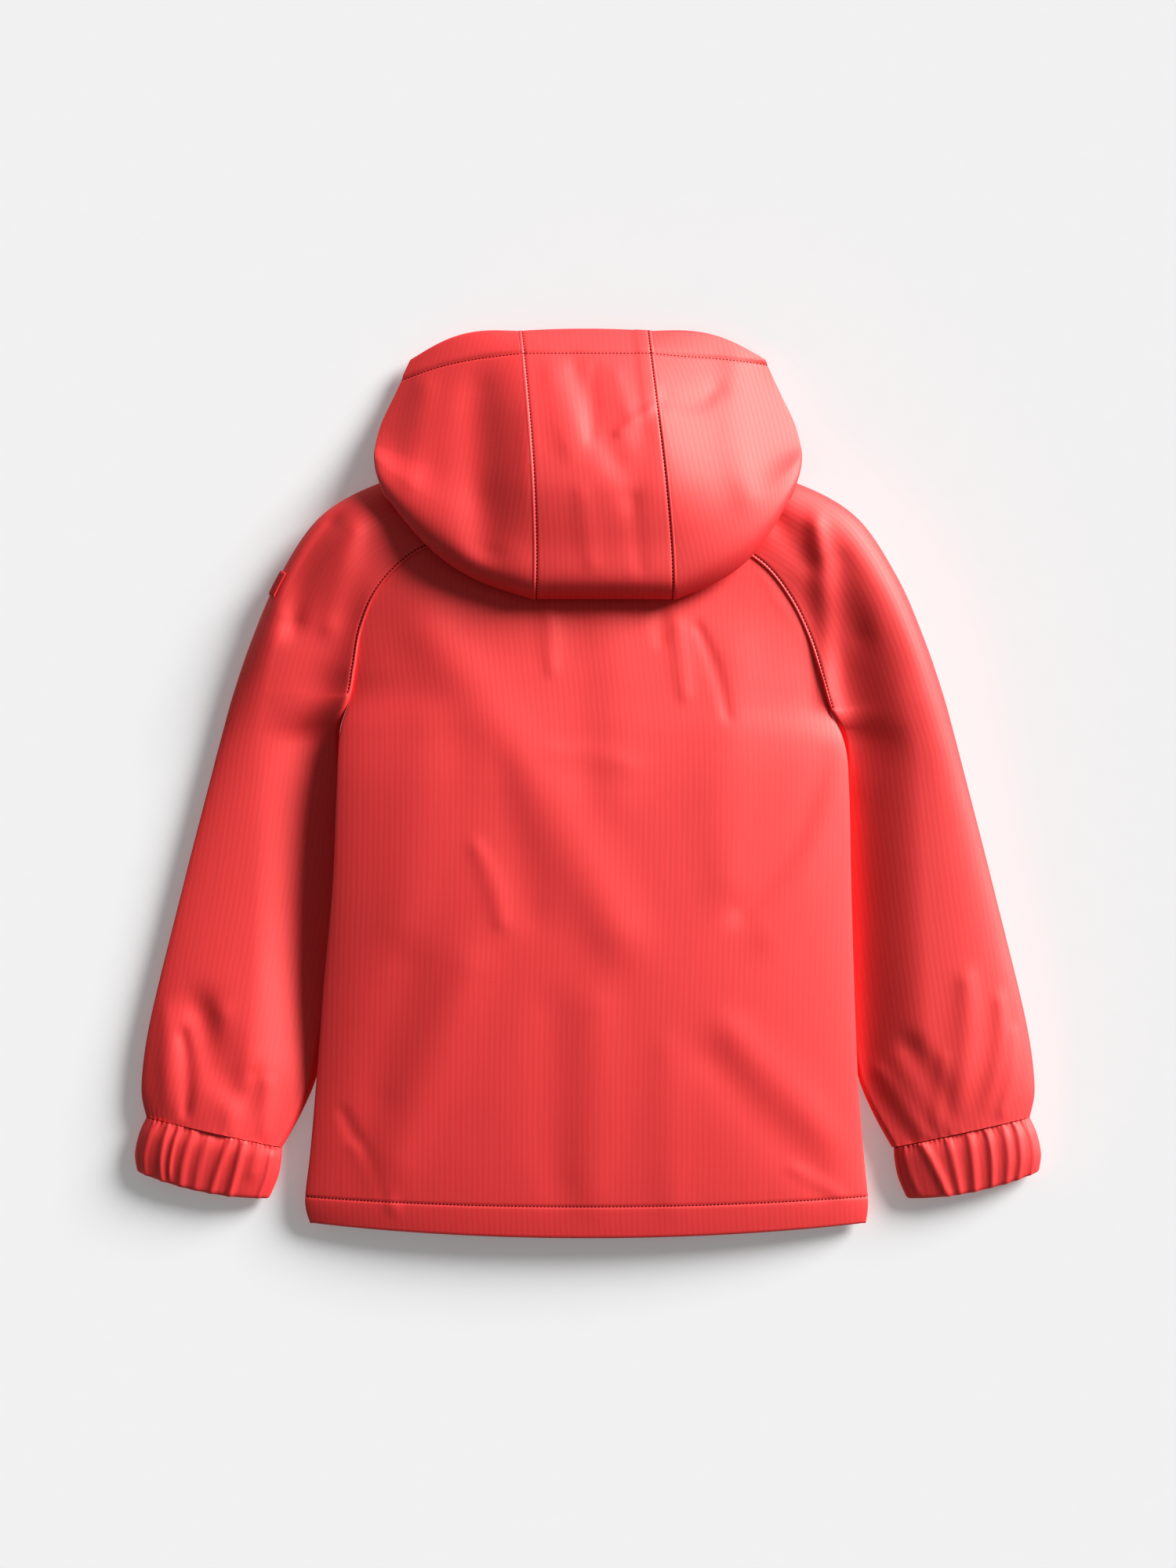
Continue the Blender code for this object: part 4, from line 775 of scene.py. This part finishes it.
FIRST, LAST = (np.s_[:, 0], np.s_[:, 1]), (np.s_[:, -1], np.s_[:, -2])
UP, DOWN = np.array((0.0, 0.0, 1.0)), np.array((0.0, 0.0, -1.0))


def stitch_places(line):
    """Where the stitches along a line are, and the way it runs at each."""
    length = run(line)
    at = np.arange(STITCH_PITCH / 2, length[-1], STITCH_PITCH)
    place, ahead, behind = (places_on(line, length, at + step) for step in (0.0, 0.3, -0.3))
    return place, unit(ahead - behind)


def add_sewing(name, lines, on):
    """Lockstitches along lines on a panel's outer side: short threads, each a six-sided spindle."""
    turn = np.arange(6) * math.pi / 3
    rings = ((-0.5, 0.35), (-0.3, 1.0), (0.3, 1.0), (0.5, 0.35))
    verts, faces = [], []
    for line in lines:
        for place, way in zip(*stitch_places(line)):
            side = np.cross(way, UP + 0.01 * way[::-1])
            side = side / np.linalg.norm(side)
            lift = np.cross(side, way)
            start = len(verts)
            for along, size in rings:
                for a in turn:
                    out = STITCH_RADIUS * size * (side * math.cos(a) + lift * math.sin(a))
                    verts.append(place + way * along * STITCH_LENGTH + out)
            for ring in range(3):
                for n in range(6):
                    a, b = start + ring * 6 + n, start + ring * 6 + (n + 1) % 6
                    faces.append((a, b, b + 6, a + 6))
            faces.append(tuple(start + n for n in reversed(range(6))))
            faces.append(tuple(start + 18 + n for n in range(6)))
    stitches = make_piece(name, verts, faces, THREADS_PAINTED_SHADE)
    sewn.setdefault(on, []).append(stitches)


# ---------------------------------------------------------------- finishes

class Link:
    """A socket of a finish, used like a number: sums of links add Math nodes."""

    def __init__(self, finish, socket):
        self.finish, self.socket = finish, socket

    def math(self, operation, *others):
        return self.finish.node("ShaderNodeMath", {"operation": operation}, self, *others)

    def __add__(self, other):
        return self.math("ADD", other)

    def __mul__(self, other):
        return self.math("MULTIPLY", other)

    def __sub__(self, other):
        return self.math("SUBTRACT", other)

    def __rsub__(self, other):
        return self.finish.node("ShaderNodeMath", {"operation": "SUBTRACT"}, other, self)

    __radd__, __rmul__ = __add__, __mul__

    def sine(self):
        return self.math("SINE")

    def size(self):
        return self.math("ABSOLUTE")

    def kept_within(self, low, high):
        return self.math("MAXIMUM", low).math("MINIMUM", high)


class Finish:
    """A material with a Principled shader, built from nodes."""

    def __init__(self, name, **constants):
        self.material = bpy.data.materials.new(name)
        self.material.use_nodes = True
        self.tree = self.material.node_tree
        self.shader = self.tree.nodes["Principled BSDF"]
        for socket, value in constants.items():
            self.shader.inputs[socket.replace("_", " ")].default_value = value
        self.material.diffuse_color = constants.get("Base_Color", (0.8, 0.8, 0.8, 1.0))

    def node(self, kind, settings, *values, output=0, **named):
        """Adds a node: its settings first, then the values or links of its sockets, in order or by name."""
        node = self.tree.nodes.new(kind)
        for setting, value in settings.items():
            setattr(node, setting, value)
        for socket, value in [*enumerate(values), *((n.replace("_", " "), v) for n, v in named.items())]:
            if isinstance(value, Link):
                self.tree.links.new(value.socket, node.inputs[socket])
            elif value is not None:
                node.inputs[socket].default_value = value
        return Link(self, node.outputs[output])

    def feed(self, socket, link):
        self.tree.links.new(link.socket, self.shader.inputs[socket])

    def shade(self, color, share, dark, light):
        """Feeds a base colour that runs from dark to light times a colour, by a link from 0 to 1."""
        self.feed("Base Color", self.tint(share, scaled(color, dark), scaled(color, light)))

    def cloth(self):
        """Across and along the flat cloth in mm, and both as a vector."""
        place = self.node("ShaderNodeAttribute", {"attribute_name": "cloth"}, output=1)
        split = self.tree.nodes.new("ShaderNodeSeparateXYZ")
        self.tree.links.new(place.socket, split.inputs[0])
        return Link(self, split.outputs[0]), Link(self, split.outputs[1]), place

    def place(self):
        return self.node("ShaderNodeTexCoord", {}, output=3)

    def noise(self, vector, scale, detail=2.0, roughness=0.5):
        return self.node("ShaderNodeTexNoise", {}, Vector=vector, Scale=scale, Detail=detail,
                         Roughness=roughness)

    def stretched(self, vector, across, along):
        return self.node("ShaderNodeVectorMath", {"operation": "MULTIPLY"}, vector, (across, along, 1.0))

    def tint(self, share, dark, light):
        """A colour between two, by a link from 0 to 1."""
        mix = self.tree.nodes.new("ShaderNodeMix")
        mix.data_type = "RGBA"
        self.tree.links.new(share.socket, mix.inputs["Factor"])
        mix.inputs["A"].default_value, mix.inputs["B"].default_value = dark, light
        for output in mix.outputs:
            if output.type == "RGBA":
                return Link(self, output)

    def raise_by(self, height, distance, strength=1.0):
        """Feeds a bump of that height, in metres for a height of 1."""
        bump = self.node("ShaderNodeBump", {}, Strength=strength, Distance=distance, Height=height)
        self.feed("Normal", bump)


def scaled(color, by):
    return tuple(c * by for c in color[:3]) + (1.0,)


RIB = 3.5  # between the ribs of the softshell
CROSS = 1.15  # between its cross threads


def softshell():
    """Coral softshell: fine ribs along the cloth, fainter cross threads and a soft sheen."""
    finish = Finish("softshell", Base_Color=CORAL, Roughness=0.75, IOR=1.72, Specular_IOR_Level=1.0,
                    Specular_Tint=(1.0, 0.97, 0.86, 1.0),
                    Sheen_Weight=0.02, Sheen_Roughness=0.5, Sheen_Tint=(1.0, 0.6, 0.55, 1.0))
    across, along, place = finish.cloth()
    streaks = finish.noise(finish.stretched(place, 0.55, 0.02), 1.0, 2.0)
    wander = finish.noise(finish.stretched(place, 0.05, 0.05), 1.0, 2.0)
    grain = finish.noise(finish.stretched(place, 1.6, 2.2), 1.0, 3.0, 0.6)
    rib = ((across + wander * 1.2) * (2 * math.pi / RIB)).sine() * 0.5 + 0.5
    threads = (along * (2 * math.pi / CROSS)).sine() * 0.5 + 0.5
    fine_rib = (across * (4 * math.pi / RIB)).sine() * 0.5 + 0.5
    share = rib * 0.14 + streaks * 0.42 + grain * 0.34 + threads * 0.06 + fine_rib * 0.04
    finish.shade(CORAL, share.kept_within(0.0, 1.0), 0.84, 1.1)
    finish.feed("Roughness", 0.73 - rib * 0.03 - grain * 0.06)
    finish.raise_by(rib * 0.28 + streaks * 0.2 + threads * 0.08 + grain * 0.35, 0.00010, 0.8)
    return finish.material


# Near-black thread: painted shade standing in for the shadowed holes between stitches, not the thread's own
# colour.
def thread_painted_shade_finish():
    finish = Finish("stitch_thread_painted_shade", Base_Color=THREAD_PAINTED_SHADE, Roughness=0.8, Specular_IOR_Level=0.2)
    twist = finish.noise(finish.place(), 2500.0)
    finish.shade(THREAD_PAINTED_SHADE, twist, 0.7, 1.3)
    return finish.material


def patch_finish():
    """Bare woven patch: a tight plain weave."""
    finish = Finish("patch_cloth", Base_Color=PATCH_CORAL, Roughness=0.75, Sheen_Weight=0.1)
    across, along, place = finish.cloth()
    weave = (across * (2 * math.pi / 0.8)).sine() * (along * (2 * math.pi / 0.8)).sine() * 0.5 + 0.5
    grain = finish.noise(place, 1.5)
    share = weave * 0.5 + grain * 0.5
    finish.shade(PATCH_CORAL, share, 0.85, 1.1)
    finish.raise_by(weave, 0.00008, 0.7)
    return finish.material


def tape_finish():
    """Woven zip tape: fine herringbone."""
    finish = Finish("zip_tape", Base_Color=TAPE_CORAL, Roughness=0.7, Sheen_Weight=0.1)
    across, along, place = finish.cloth()
    zigzag = (across * (2 * math.pi / 2.4)).sine().size() * 2.2
    bone = (zigzag + along * (2 * math.pi / 0.9)).sine() * 0.5 + 0.5
    grain = finish.noise(place, 2.0)
    finish.shade(TAPE_CORAL, bone * 0.6 + grain * 0.4, 0.8, 1.12)
    finish.raise_by(bone, 0.00008, 0.8)
    return finish.material


def tooth_finish():
    """Moulded zip teeth: smooth coral plastic, faintly mottled."""
    finish = Finish("zip_teeth", Base_Color=TOOTH_CORAL, Roughness=0.35)
    grain = finish.noise(finish.place(), 900.0)
    finish.shade(TOOTH_CORAL, grain, 0.9, 1.08)
    finish.feed("Roughness", 0.3 + grain * 0.15)
    return finish.material


def gunmetal_finish():
    """Enamelled zip metal, a little rubbed."""
    finish = Finish("zip_metal", Base_Color=GUNMETAL, Roughness=0.35, Metallic=1.0)
    rub = finish.noise(finish.place(), 700.0, 3.0)
    grain = finish.noise(finish.place(), 3500.0)
    finish.shade(GUNMETAL, rub, 0.75, 1.4)
    finish.feed("Roughness", 0.28 + rub * 0.18)
    finish.raise_by(grain, 0.00002, 0.5)
    return finish.material


# ---------------------------------------------------------------- the jacket

SOFTSHELL = softshell()
THREADS_PAINTED_SHADE = thread_painted_shade_finish()
panels, sewn = [], {}  # the cloth panels with their flat sizes, area, hold and what they rest on, and the stitches on each


def seam_places(width, count):
    """Places across a panel, 0 to 1, the first and last few at set distances from its seams."""
    near = NEAR_SEAM / width[:, None]
    middle = near[:, -1:] + (1 - 2 * near[:, -1:]) * np.linspace(0, 1, count)[1:-1]
    return np.concatenate((near, middle, 1 - near[:, ::-1]), axis=1)


def widths(start, end):
    return np.linalg.norm(end - start, axis=-1)


def body_rows():
    """Rows of the body panels: close together at the hem's edge and at its stitching."""
    lengths = np.abs(np.diff(BODY.rows[:, BODY.columns.index("mid_y")]))
    above = stops(lengths, first=1.25)
    return np.concatenate((HEM_PLACES, above))


def hem_detail(row):
    """The double cloth of the hem, rounded at its edge, and the groove of its stitching."""
    band = 0.12 * smooth_step((HEM_ROW - row) / 0.10) * smooth_step((row + 0.03) / 0.16)
    edge = -0.9 * bell(row, 0.06)
    return band + edge - 0.35 * bell(row - HEM_ROW, 0.03)


def add_back():
    rows = body_rows()
    across = seam_places(widths(side_point(rows, -1), side_point(rows, 1)), 136)
    row = np.broadcast_to(rows[:, None], across.shape)
    base = back_surface(row, across)
    level = smooth_step(np.minimum(across, 1 - across) * 14)
    base[..., 2] += relief(BODY_FINE, base) * level
    seam = (rows > UNDERARM + 0.01)[:, None]
    edges = [(np.s_[:, 0], np.where(seam, DOWN, np.array((1.0, 0.0, 0.0)))),
             (np.s_[:, -1], np.where(seam, DOWN, np.array((-1.0, 0.0, 0.0))))]
    outer, inner = wall(base, hem_detail(row), 1, edges)
    close_up(outer, inner, (FIRST, LAST))
    add_panel("back_panel", outer, inner, across.shape[1] // 2, (0.371, 0.463), 0.152)
    line = outer[np.argmin(np.abs(rows - HEM_ROW))]
    add_sewing("hem_stitching_back", [line[2:-2]], "back_panel")


def add_front(side):
    name, rows = SIDE_NAME[side] + "_front", body_rows()
    across = 1 - np.cos(math.pi / 2 * np.linspace(0, 1, 64))
    row, across = np.meshgrid(rows, across, indexing="ij")
    base = front_surface(row, across, side)
    seam = (rows > UNDERARM + 0.01)[:, None]
    edges = [(np.s_[:, 0], np.where(seam, UP, np.array((-side, 0.0, 0.0))))]
    outer, inner = wall(base, 0 * row, side, edges, calm=1)
    close_up(outer, inner, (FIRST,))
    add_panel(name, outer, inner, -1, (0.172, 0.434))


def add_panel(node, outer, inner, column, flat, area=None, held="laid",
              rests_on=("left_front", "right_front"), ring=False):
    """A softshell panel in the place of its solid, listed with its flat sizes, area, hold and what it rests
    on.
    """
    piece = shell(node + "_cloth", outer, inner, SOFTSHELL, column, ring)
    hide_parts(node)
    panels.append((piece, node, flat, area, held, [n for n in rests_on if n != node]))


def add_sleeve(side):
    name = SIDE_NAME[side] + "_sleeve"
    lengths = np.linalg.norm(np.diff(SLEEVE.rows[:, :2], axis=0), axis=1)
    rows = stops(lengths)
    rows = np.concatenate((rows[rows < 16.7], SLEEVE_LAST_ROWS))
    upper, fold, lower = sleeve_edges(rows, side)
    near = NEAR_SEAM
    top_width, low_width = widths(upper, fold)[:, None], widths(lower, fold)[:, None]
    start = near[-1] / top_width
    top = np.concatenate((near / top_width, start + (1 - start) * eased_end(62)[1:]), axis=1)
    start = near[9] / low_width
    low = np.concatenate((near[::3] / low_width, start + (1 - start) * eased_end(46)[1:-1]), axis=1)
    low = 2 - np.flip(low, axis=1)
    around = np.concatenate((top, low), axis=1)
    row = np.broadcast_to(rows[:, None], around.shape)
    base = sleeve_surface(row, around, side)
    on_top = around <= 1
    t = np.where(on_top, around, 2 - around)
    inner_cut = np.where(row > ARMHOLE_ROWS, smooth_step(t * 8), smooth_step(t * 16))
    inner_cut = smooth_step((1 - t) * 8) * inner_cut
    fine = relief(SLEEVE_FINE[side], base) * inner_cut
    base[..., 2] += np.where(on_top, fine, 0.0)
    from_seam = t * np.where(on_top, top_width, low_width)
    sewn_part = smooth_step((ARMHOLE_ROWS + 0.1 - row) * 3) * on_top
    to_cuff = (CUFF_SEAM - row) * lengths[-1]
    detail = welt(from_seam) * sewn_part + puckers(1 - t, to_cuff) * smooth_step(to_cuff / 0.3 + 0.3)
    above = (rows < ARMHOLE_ROWS - 0.01)[:, None]
    away = np.array((side, 0.0, 0.0))
    edges = ((np.s_[:, 0], np.where(above, DOWN, away)), (np.s_[:, -1], np.where(above, UP, away)))
    outer, inner = wall(base, detail, -side, edges)
    for end in (0, -1):  # the ends stay upright, so that what is sewn on meets them squarely
        inner[end, :, :2] = flat_end(base[end], inner[end])
    close_up(outer, inner, (FIRST, LAST))
    add_panel(name, outer, inner, len(near) + 20, (0.25, 0.45), 0.092, rests_on=(SIDE_NAME[side] + "_cuff",))
    last = np.argmin(np.abs(rows - ARMHOLE_ROWS))
    add_sewing(SIDE_NAME[side] + "_raglan_stitching", [outer[2:last, STITCH_COLUMN]], name)


def flat_end(outer, inner):
    """Plan places of an end's inner points, moved into the upright plane through its outer points."""
    line = outer[len(outer) // 2, :2] - outer[0, :2]
    line = line / np.linalg.norm(line)
    return outer[:, :2] + ((inner - outer)[:, :2] @ line)[:, None] * line


def add_cuff(side):
    name = SIDE_NAME[side] + "_cuff"
    around = np.arange(330) / 330
    rows = np.concatenate(((0, 0.02, 0.05, 0.09, 0.15, 0.23, 0.32), np.linspace(0.42, 2.55, 20),
                           (2.65, 2.75, 2.83, 2.9, 2.95, 2.98, 3.0)))
    row, around = np.meshgrid(rows, around, indexing="ij")
    base = cuff_surface(row, around, side)
    place = (1 + np.cos(2 * math.pi * around)) / 2
    seen = around <= 0.5
    along = row / 3
    end = smooth_step(place * 14) * smooth_step((1 - place) * 14)
    detail = gather_relief(place, along, seen, side) * end * (0.35 + 0.65 * smooth_step(row / 0.35))
    detail += puckers(place, row * 11) * end * smooth_step(row * 11 / 0.3 + 0.3)
    detail -= 0.8 * bell(row - 3.0, 0.10)
    outer, inner = wall(base, detail, -side, calm=1, ring=True)
    inner += (outer - base) * 0.6
    outer[..., 2] = np.maximum(outer[..., 2], 0.0)
    inner[..., 2] = np.maximum(inner[..., 2], CLOTH * 0.5)
    add_panel(name, outer, inner, 80, (0.215, 0.040), held="gathered",
              rests_on=(SIDE_NAME[side] + "_sleeve",), ring=True)


def hood_grid(stitch_row):
    """Rows of a hood panel for each of its columns: drawn together at the hem's stitching."""
    lengths = np.linalg.norm(np.diff(HOOD.rows[:, 2:4], axis=0), axis=1)
    above = stops([*np.maximum(lengths, 9.0), 14.0, 9.0, 4.5], spacing=2.2, first=1.35)
    hem = (0, 0.03, 0.08, 0.16, 0.26, 0.38, 0.5, 0.62, 0.74, 0.85, 0.94, 1.0)
    reach = stitch_row - 0.09
    parts = [reach * place for place in hem]
    parts += [stitch_row + step for step in (-0.06, -0.03, 0.0, 0.03, 0.06, 0.09)]
    parts += [between(stitch_row + 0.09, 1.35, place) for place in (0.15, 0.32, 0.5, 0.68, 0.85)]
    parts += [0 * stitch_row + place for place in above]
    return np.stack(parts)


HOOD_STITCH_LINE = 14  # the row of hood_grid that its stitching follows


def hood_hem_detail(row, stitch_row):
    band = 0.55 * smooth_step((stitch_row - row) / 0.12) * smooth_step((row + 0.03) / 0.14)
    return band - 0.9 * bell(row, 0.05) - 0.4 * bell(row - stitch_row, 0.028)


def seam_way(outer, column):
    """The way into the wall at a hood seam, the same for both panels that meet there."""
    along = np.gradient(outer[:, column], axis=0)
    return unit(np.cross(np.array((1.0, 0.0, 0.0)), along))


def add_hood_centre():
    near = NEAR_SEAM / HOOD_CENTRE_WIDE
    middle = between(near[-1], 1 - near[-1], np.linspace(0, 1, 34)[1:-1])
    across = np.concatenate((near, middle, 1 - near[::-1]))
    stitch_row = np.full(across.shape, HOOD_HEM_ROW)
    row = hood_grid(stitch_row)
    place = np.broadcast_to(across, row.shape)
    base = hood_surface(row, hood_rows_centre(place))
    section = HOOD(row)
    width = section["right_x"] - section["left_x"]
    from_seam = np.minimum(place, 1 - place) * width
    upper = smooth_step((HOOD_FINE_END - row) / 1.2)
    base[..., 2] += relief(HOOD_FINE, base) * upper * smooth_step(from_seam / 8)
    strip = 0.45 * smooth_step((place - 0.86) * 60) * smooth_step((2.4 - row) * 1.5)
    strip = strip * smooth_step((1 - place) * width / 2)
    detail = hood_hem_detail(row, stitch_row) + welt(from_seam) + strip
    outer, inner = wall(base, detail, -1, [(np.s_[:, n], seam_way(base, n)) for n in (0, -1)])
    close_up(outer, inner, (FIRST, LAST))
    add_panel("hood_centre", outer, inner, across.size // 2, (0.10, 0.27), held="folded",
              rests_on=("back_panel",))
    add_sewing("hood_hem_stitching_centre", [outer[HOOD_STITCH_LINE, 2:-2]], "hood_centre")
    seams = [outer[1:-6, STITCH_COLUMN], outer[1:-6, -1 - STITCH_COLUMN]]
    add_sewing("hood_seam_stitching", seams, "hood_centre")


def add_hood_side(side):
    name = "hood_" + SIDE_NAME[side]
    near = np.array((0.0, 0.35, 0.7, 1.2, 2.0, 3.2, 5.0)) / HOOD_SIDE_WIDE
    top = near[-1] + (1 - near[-1]) * eased_end(46)[1:]
    low = 1 + 0.2 * (1 - eased_end(14)[::-1])[1:]
    rest = np.concatenate((np.linspace(1.2, 1.6, 45)[1:], np.linspace(1.6, 2, 26)[1:]))
    across = np.concatenate((near, top, low, rest))
    held = np.clip(across, 0, 1)
    fold_row = HOOD_HEM_FOLD[side]
    stitch_row = between(HOOD_HEM_ROW, fold_row, held ** 2.2)
    stitch_row = np.where(across > 1, between(fold_row, 0.75, smooth_step((across - 1) / 0.6)), stitch_row)
    row = hood_grid(stitch_row)
    around = np.broadcast_to(across, row.shape)
    base = hood_surface(row, hood_rows_side(around, side), around)
    upper = smooth_step((HOOD_FINE_END - row) / 1.2) * smooth_step((1 - around) * 6)
    from_seam = around * HOOD_SIDE_WIDE
    base[..., 2] += relief(HOOD_FINE, base) * upper * smooth_step(from_seam / 8)
    detail = hood_hem_detail(row, np.broadcast_to(stitch_row, row.shape))
    outer, inner = wall(base, detail, -side, ((np.s_[:, 0], seam_way(base, 0)),), calm=4)
    close_up(outer, inner, (FIRST,))
    outer[..., 2] = np.maximum(outer[..., 2], 0.0)
    add_panel(name, outer, inner, 30, (0.21, 0.27), 0.029, held="folded",
              rests_on=("back_panel", "hood_centre"))
    add_sewing(name + "_hem_stitching", [outer[HOOD_STITCH_LINE, 2:-1]], name)


def add_patch():
    """The sleeve patch, on the sleeve's own surface, with its edge rounded off."""
    rows, places = eased(18), eased(26)
    row, around = np.meshgrid(between(*PATCH_ROWS, rows), between(*PATCH_AROUND, places), indexing="ij")
    sleeve = sleeve_surface(row, around, -1)
    way = normals(sleeve, 1)
    ends, sides = np.minimum(rows, 1 - rows)[:, None] * 14, np.minimum(places, 1 - places)[None, :] * 22
    edge = np.minimum(ends, sides)
    top = PATCH_OFF + PATCH * (0.45 + 0.55 * quarter_round(edge / 1.2))
    outer, inner = sleeve + way * top[..., None], sleeve + way * PATCH_OFF
    piece = shell("sleeve_patch_cloth", outer, inner, patch_finish(), 10)
    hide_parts("sleeve_patch")


def add_zip_tape():
    """The two woven tapes that carry the teeth."""
    tape = tape_finish()
    low = CLOTH + SEAM_GAP
    steps = np.concatenate((np.linspace(ZIP_BOTTOM, 80, 70), np.linspace(82, ZIP_TOP, 40)))
    across = np.array((0.9, 1.1, 2.0, 3.5, 5.0, 7.0, 9.0, 11.0, 12.6, TAPE_HALF))
    for side, name in SIDE_NAME.items():
        y, x = np.meshgrid(steps, side * across, indexing="ij")
        edge = np.where((np.abs(x) > TAPE_HALF - 0.1) | (np.abs(x) < 1.0), 0.3, 0.0)
        top = points(x, y, low + TAPE + zip_lift(x, y) - edge)
        under = points(x, y, low + zip_lift(x, y) + edge)
        piece = shell(f"zip_tape_{name}", top, under, tape, 4)
        if side < 0:
            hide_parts("zip")


def add_zip_teeth():
    """Moulded teeth, each side's between the other's."""
    half = ((-2.8, 0.55), (-0.9, 0.45), (-0.3, 0.85), (0.9, 0.85), (1.35, 0.3))
    outline = np.array([(x, -y) for x, y in half] + [*reversed(half)])
    pitch, low, high = 2.5, CHAIN_LOW, CLOTH + SEAM_GAP + TAPE + 0.5
    levels = ((low, 0.8), (low + 0.3, 1.0), (high - 0.3, 1.0), (high, 0.8))
    sides = len(outline)
    verts, faces = [], []
    count = int((ZIP_TOP - 4 - ZIP_BOTTOM) / pitch)
    for n in range(count):
        for side in (-1, 1):
            y0 = ZIP_BOTTOM + 2 + pitch * (n + (0.5 if side > 0 else 0.0))
            x, y = -side * outline[:, 0], y0 + outline[:, 1]
            lift = zip_lift(np.zeros(1), np.array([y0]))[0]
            start, centre = len(verts), side * 0.7
            for z, size in levels:
                for px, py in zip(x, y):
                    verts.append((centre + (px - centre) * size, y0 + (py - y0) * size, z + lift))
            for level in range(3):
                for k in range(sides):
                    a, b = start + level * sides + k, start + level * sides + (k + 1) % sides
                    faces.append((a, b, b + sides, a + sides) if side < 0 else (b, a, a + sides, b + sides))
            bottom = [start + k for k in range(sides)]
            top = [start + 3 * sides + k for k in range(sides)]
            faces.append(tuple(reversed(bottom)) if side < 0 else tuple(bottom))
            faces.append(tuple(top) if side < 0 else tuple(reversed(top)))
    piece = make_piece("zip_teeth", verts, faces, tooth_finish(), smooth=False)


def finish_metal():
    """The slider and its pull keep their solids and take enamelled metal."""
    metal = gunmetal_finish()
    for node in ("zip_slider", "zip_pull"):
        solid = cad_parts[node]
        solid.data.materials.clear()
        solid.data.materials.append(metal)


# ---------------------------------------------------------------- floor, light and camera

CAMERA_HEIGHT, PLANE_HEIGHT = 3000.0, 14.0
PICTURE_LONG = 1000.0  # the picture's long side on the jacket
KEY = (4.5, 28.0, 38.0, 24.0)  # energy, angle, turn, height
OVERHEAD = (0.2, 110.0, 30.0, 65.0)
SURROUND = 0.10
FLOOR_TONE, FLOOR_GLOW = 0.61, 0.175
FLOOR_LEVEL = -0.3  # just below the lowest cloth
FLOOR_HALF = 4000  # from its middle to its edge
PICTURE_MIDDLE_Y = -0.5  # what the camera stands over


def add_floor():
    tone = (FLOOR_TONE, FLOOR_TONE, FLOOR_TONE, 1.0)
    finish = Finish("pale_floor", Base_Color=tone, Roughness=1.0, Emission_Color=(1.0, 1.0, 1.0, 1.0),
                    Emission_Strength=FLOOR_GLOW, Specular_IOR_Level=0.0)
    corners = ((-1, -1), (1, -1), (1, 1), (-1, 1))
    corners = [(x * FLOOR_HALF * MM, y * FLOOR_HALF * MM, FLOOR_LEVEL * MM) for x, y in corners]
    floor = bpy.data.meshes.new("floor")
    floor.from_pydata(corners, [], [(0, 1, 2, 3)])
    grain = finish.noise(finish.place(), 60.0)
    finish.shade(tone, grain, 0.99, 1.01)
    floor.materials.append(finish.material)
    piece = bpy.data.objects.new("floor", floor)
    bpy.context.scene.collection.objects.link(piece)


def sun(name, energy, angle, turn, height):
    """A far lamp seen at a turn from +X towards +Y and a height above the floor, in degrees."""
    light = bpy.data.lights.new(name, "SUN")
    light.energy, light.angle = energy, math.radians(angle)
    lamp = bpy.data.objects.new(name, light)
    turn, height = math.radians(turn), math.radians(height)
    toward = Vector((math.cos(height) * math.cos(turn), math.cos(height) * math.sin(turn), math.sin(height)))
    lamp.rotation_euler = toward.to_track_quat("Z", "Y").to_euler()
    bpy.context.scene.collection.objects.link(lamp)


def add_light():
    """A low soft key from the upper right that draws the folds, a wide overhead and a faint surround."""
    sun("key", *KEY)
    sun("overhead", *OVERHEAD)
    world = bpy.data.worlds.new("studio")
    world.use_nodes = True
    surround = world.node_tree.nodes["Background"]
    surround.inputs["Color"].default_value = (1.0, 1.0, 1.0, 1.0)
    surround.inputs["Strength"].default_value = SURROUND
    bpy.context.scene.world = world
    bpy.context.scene.view_settings.view_transform = "Standard"
    bpy.context.scene.view_settings.look = "High Contrast"


def add_camera():
    camera = bpy.data.cameras.new("camera")
    camera.sensor_width = 36.0
    camera.lens = 36.0 * (CAMERA_HEIGHT - PLANE_HEIGHT) / PICTURE_LONG
    camera.clip_end = 20.0
    seen = bpy.data.objects.new("camera", camera)
    seen.location = (0.0, PICTURE_MIDDLE_Y * MM, CAMERA_HEIGHT * MM)
    bpy.context.scene.collection.objects.link(seen)
    bpy.context.scene.camera = seen


add_back()
for add_pair in (add_front, add_sleeve, add_cuff):
    add_pair(-1)
    add_pair(1)
add_hood_centre()
add_hood_side(-1)
add_hood_side(1)
add_patch()
add_zip_tape()
add_zip_teeth()
finish_metal()
add_floor()
add_light()
add_camera()
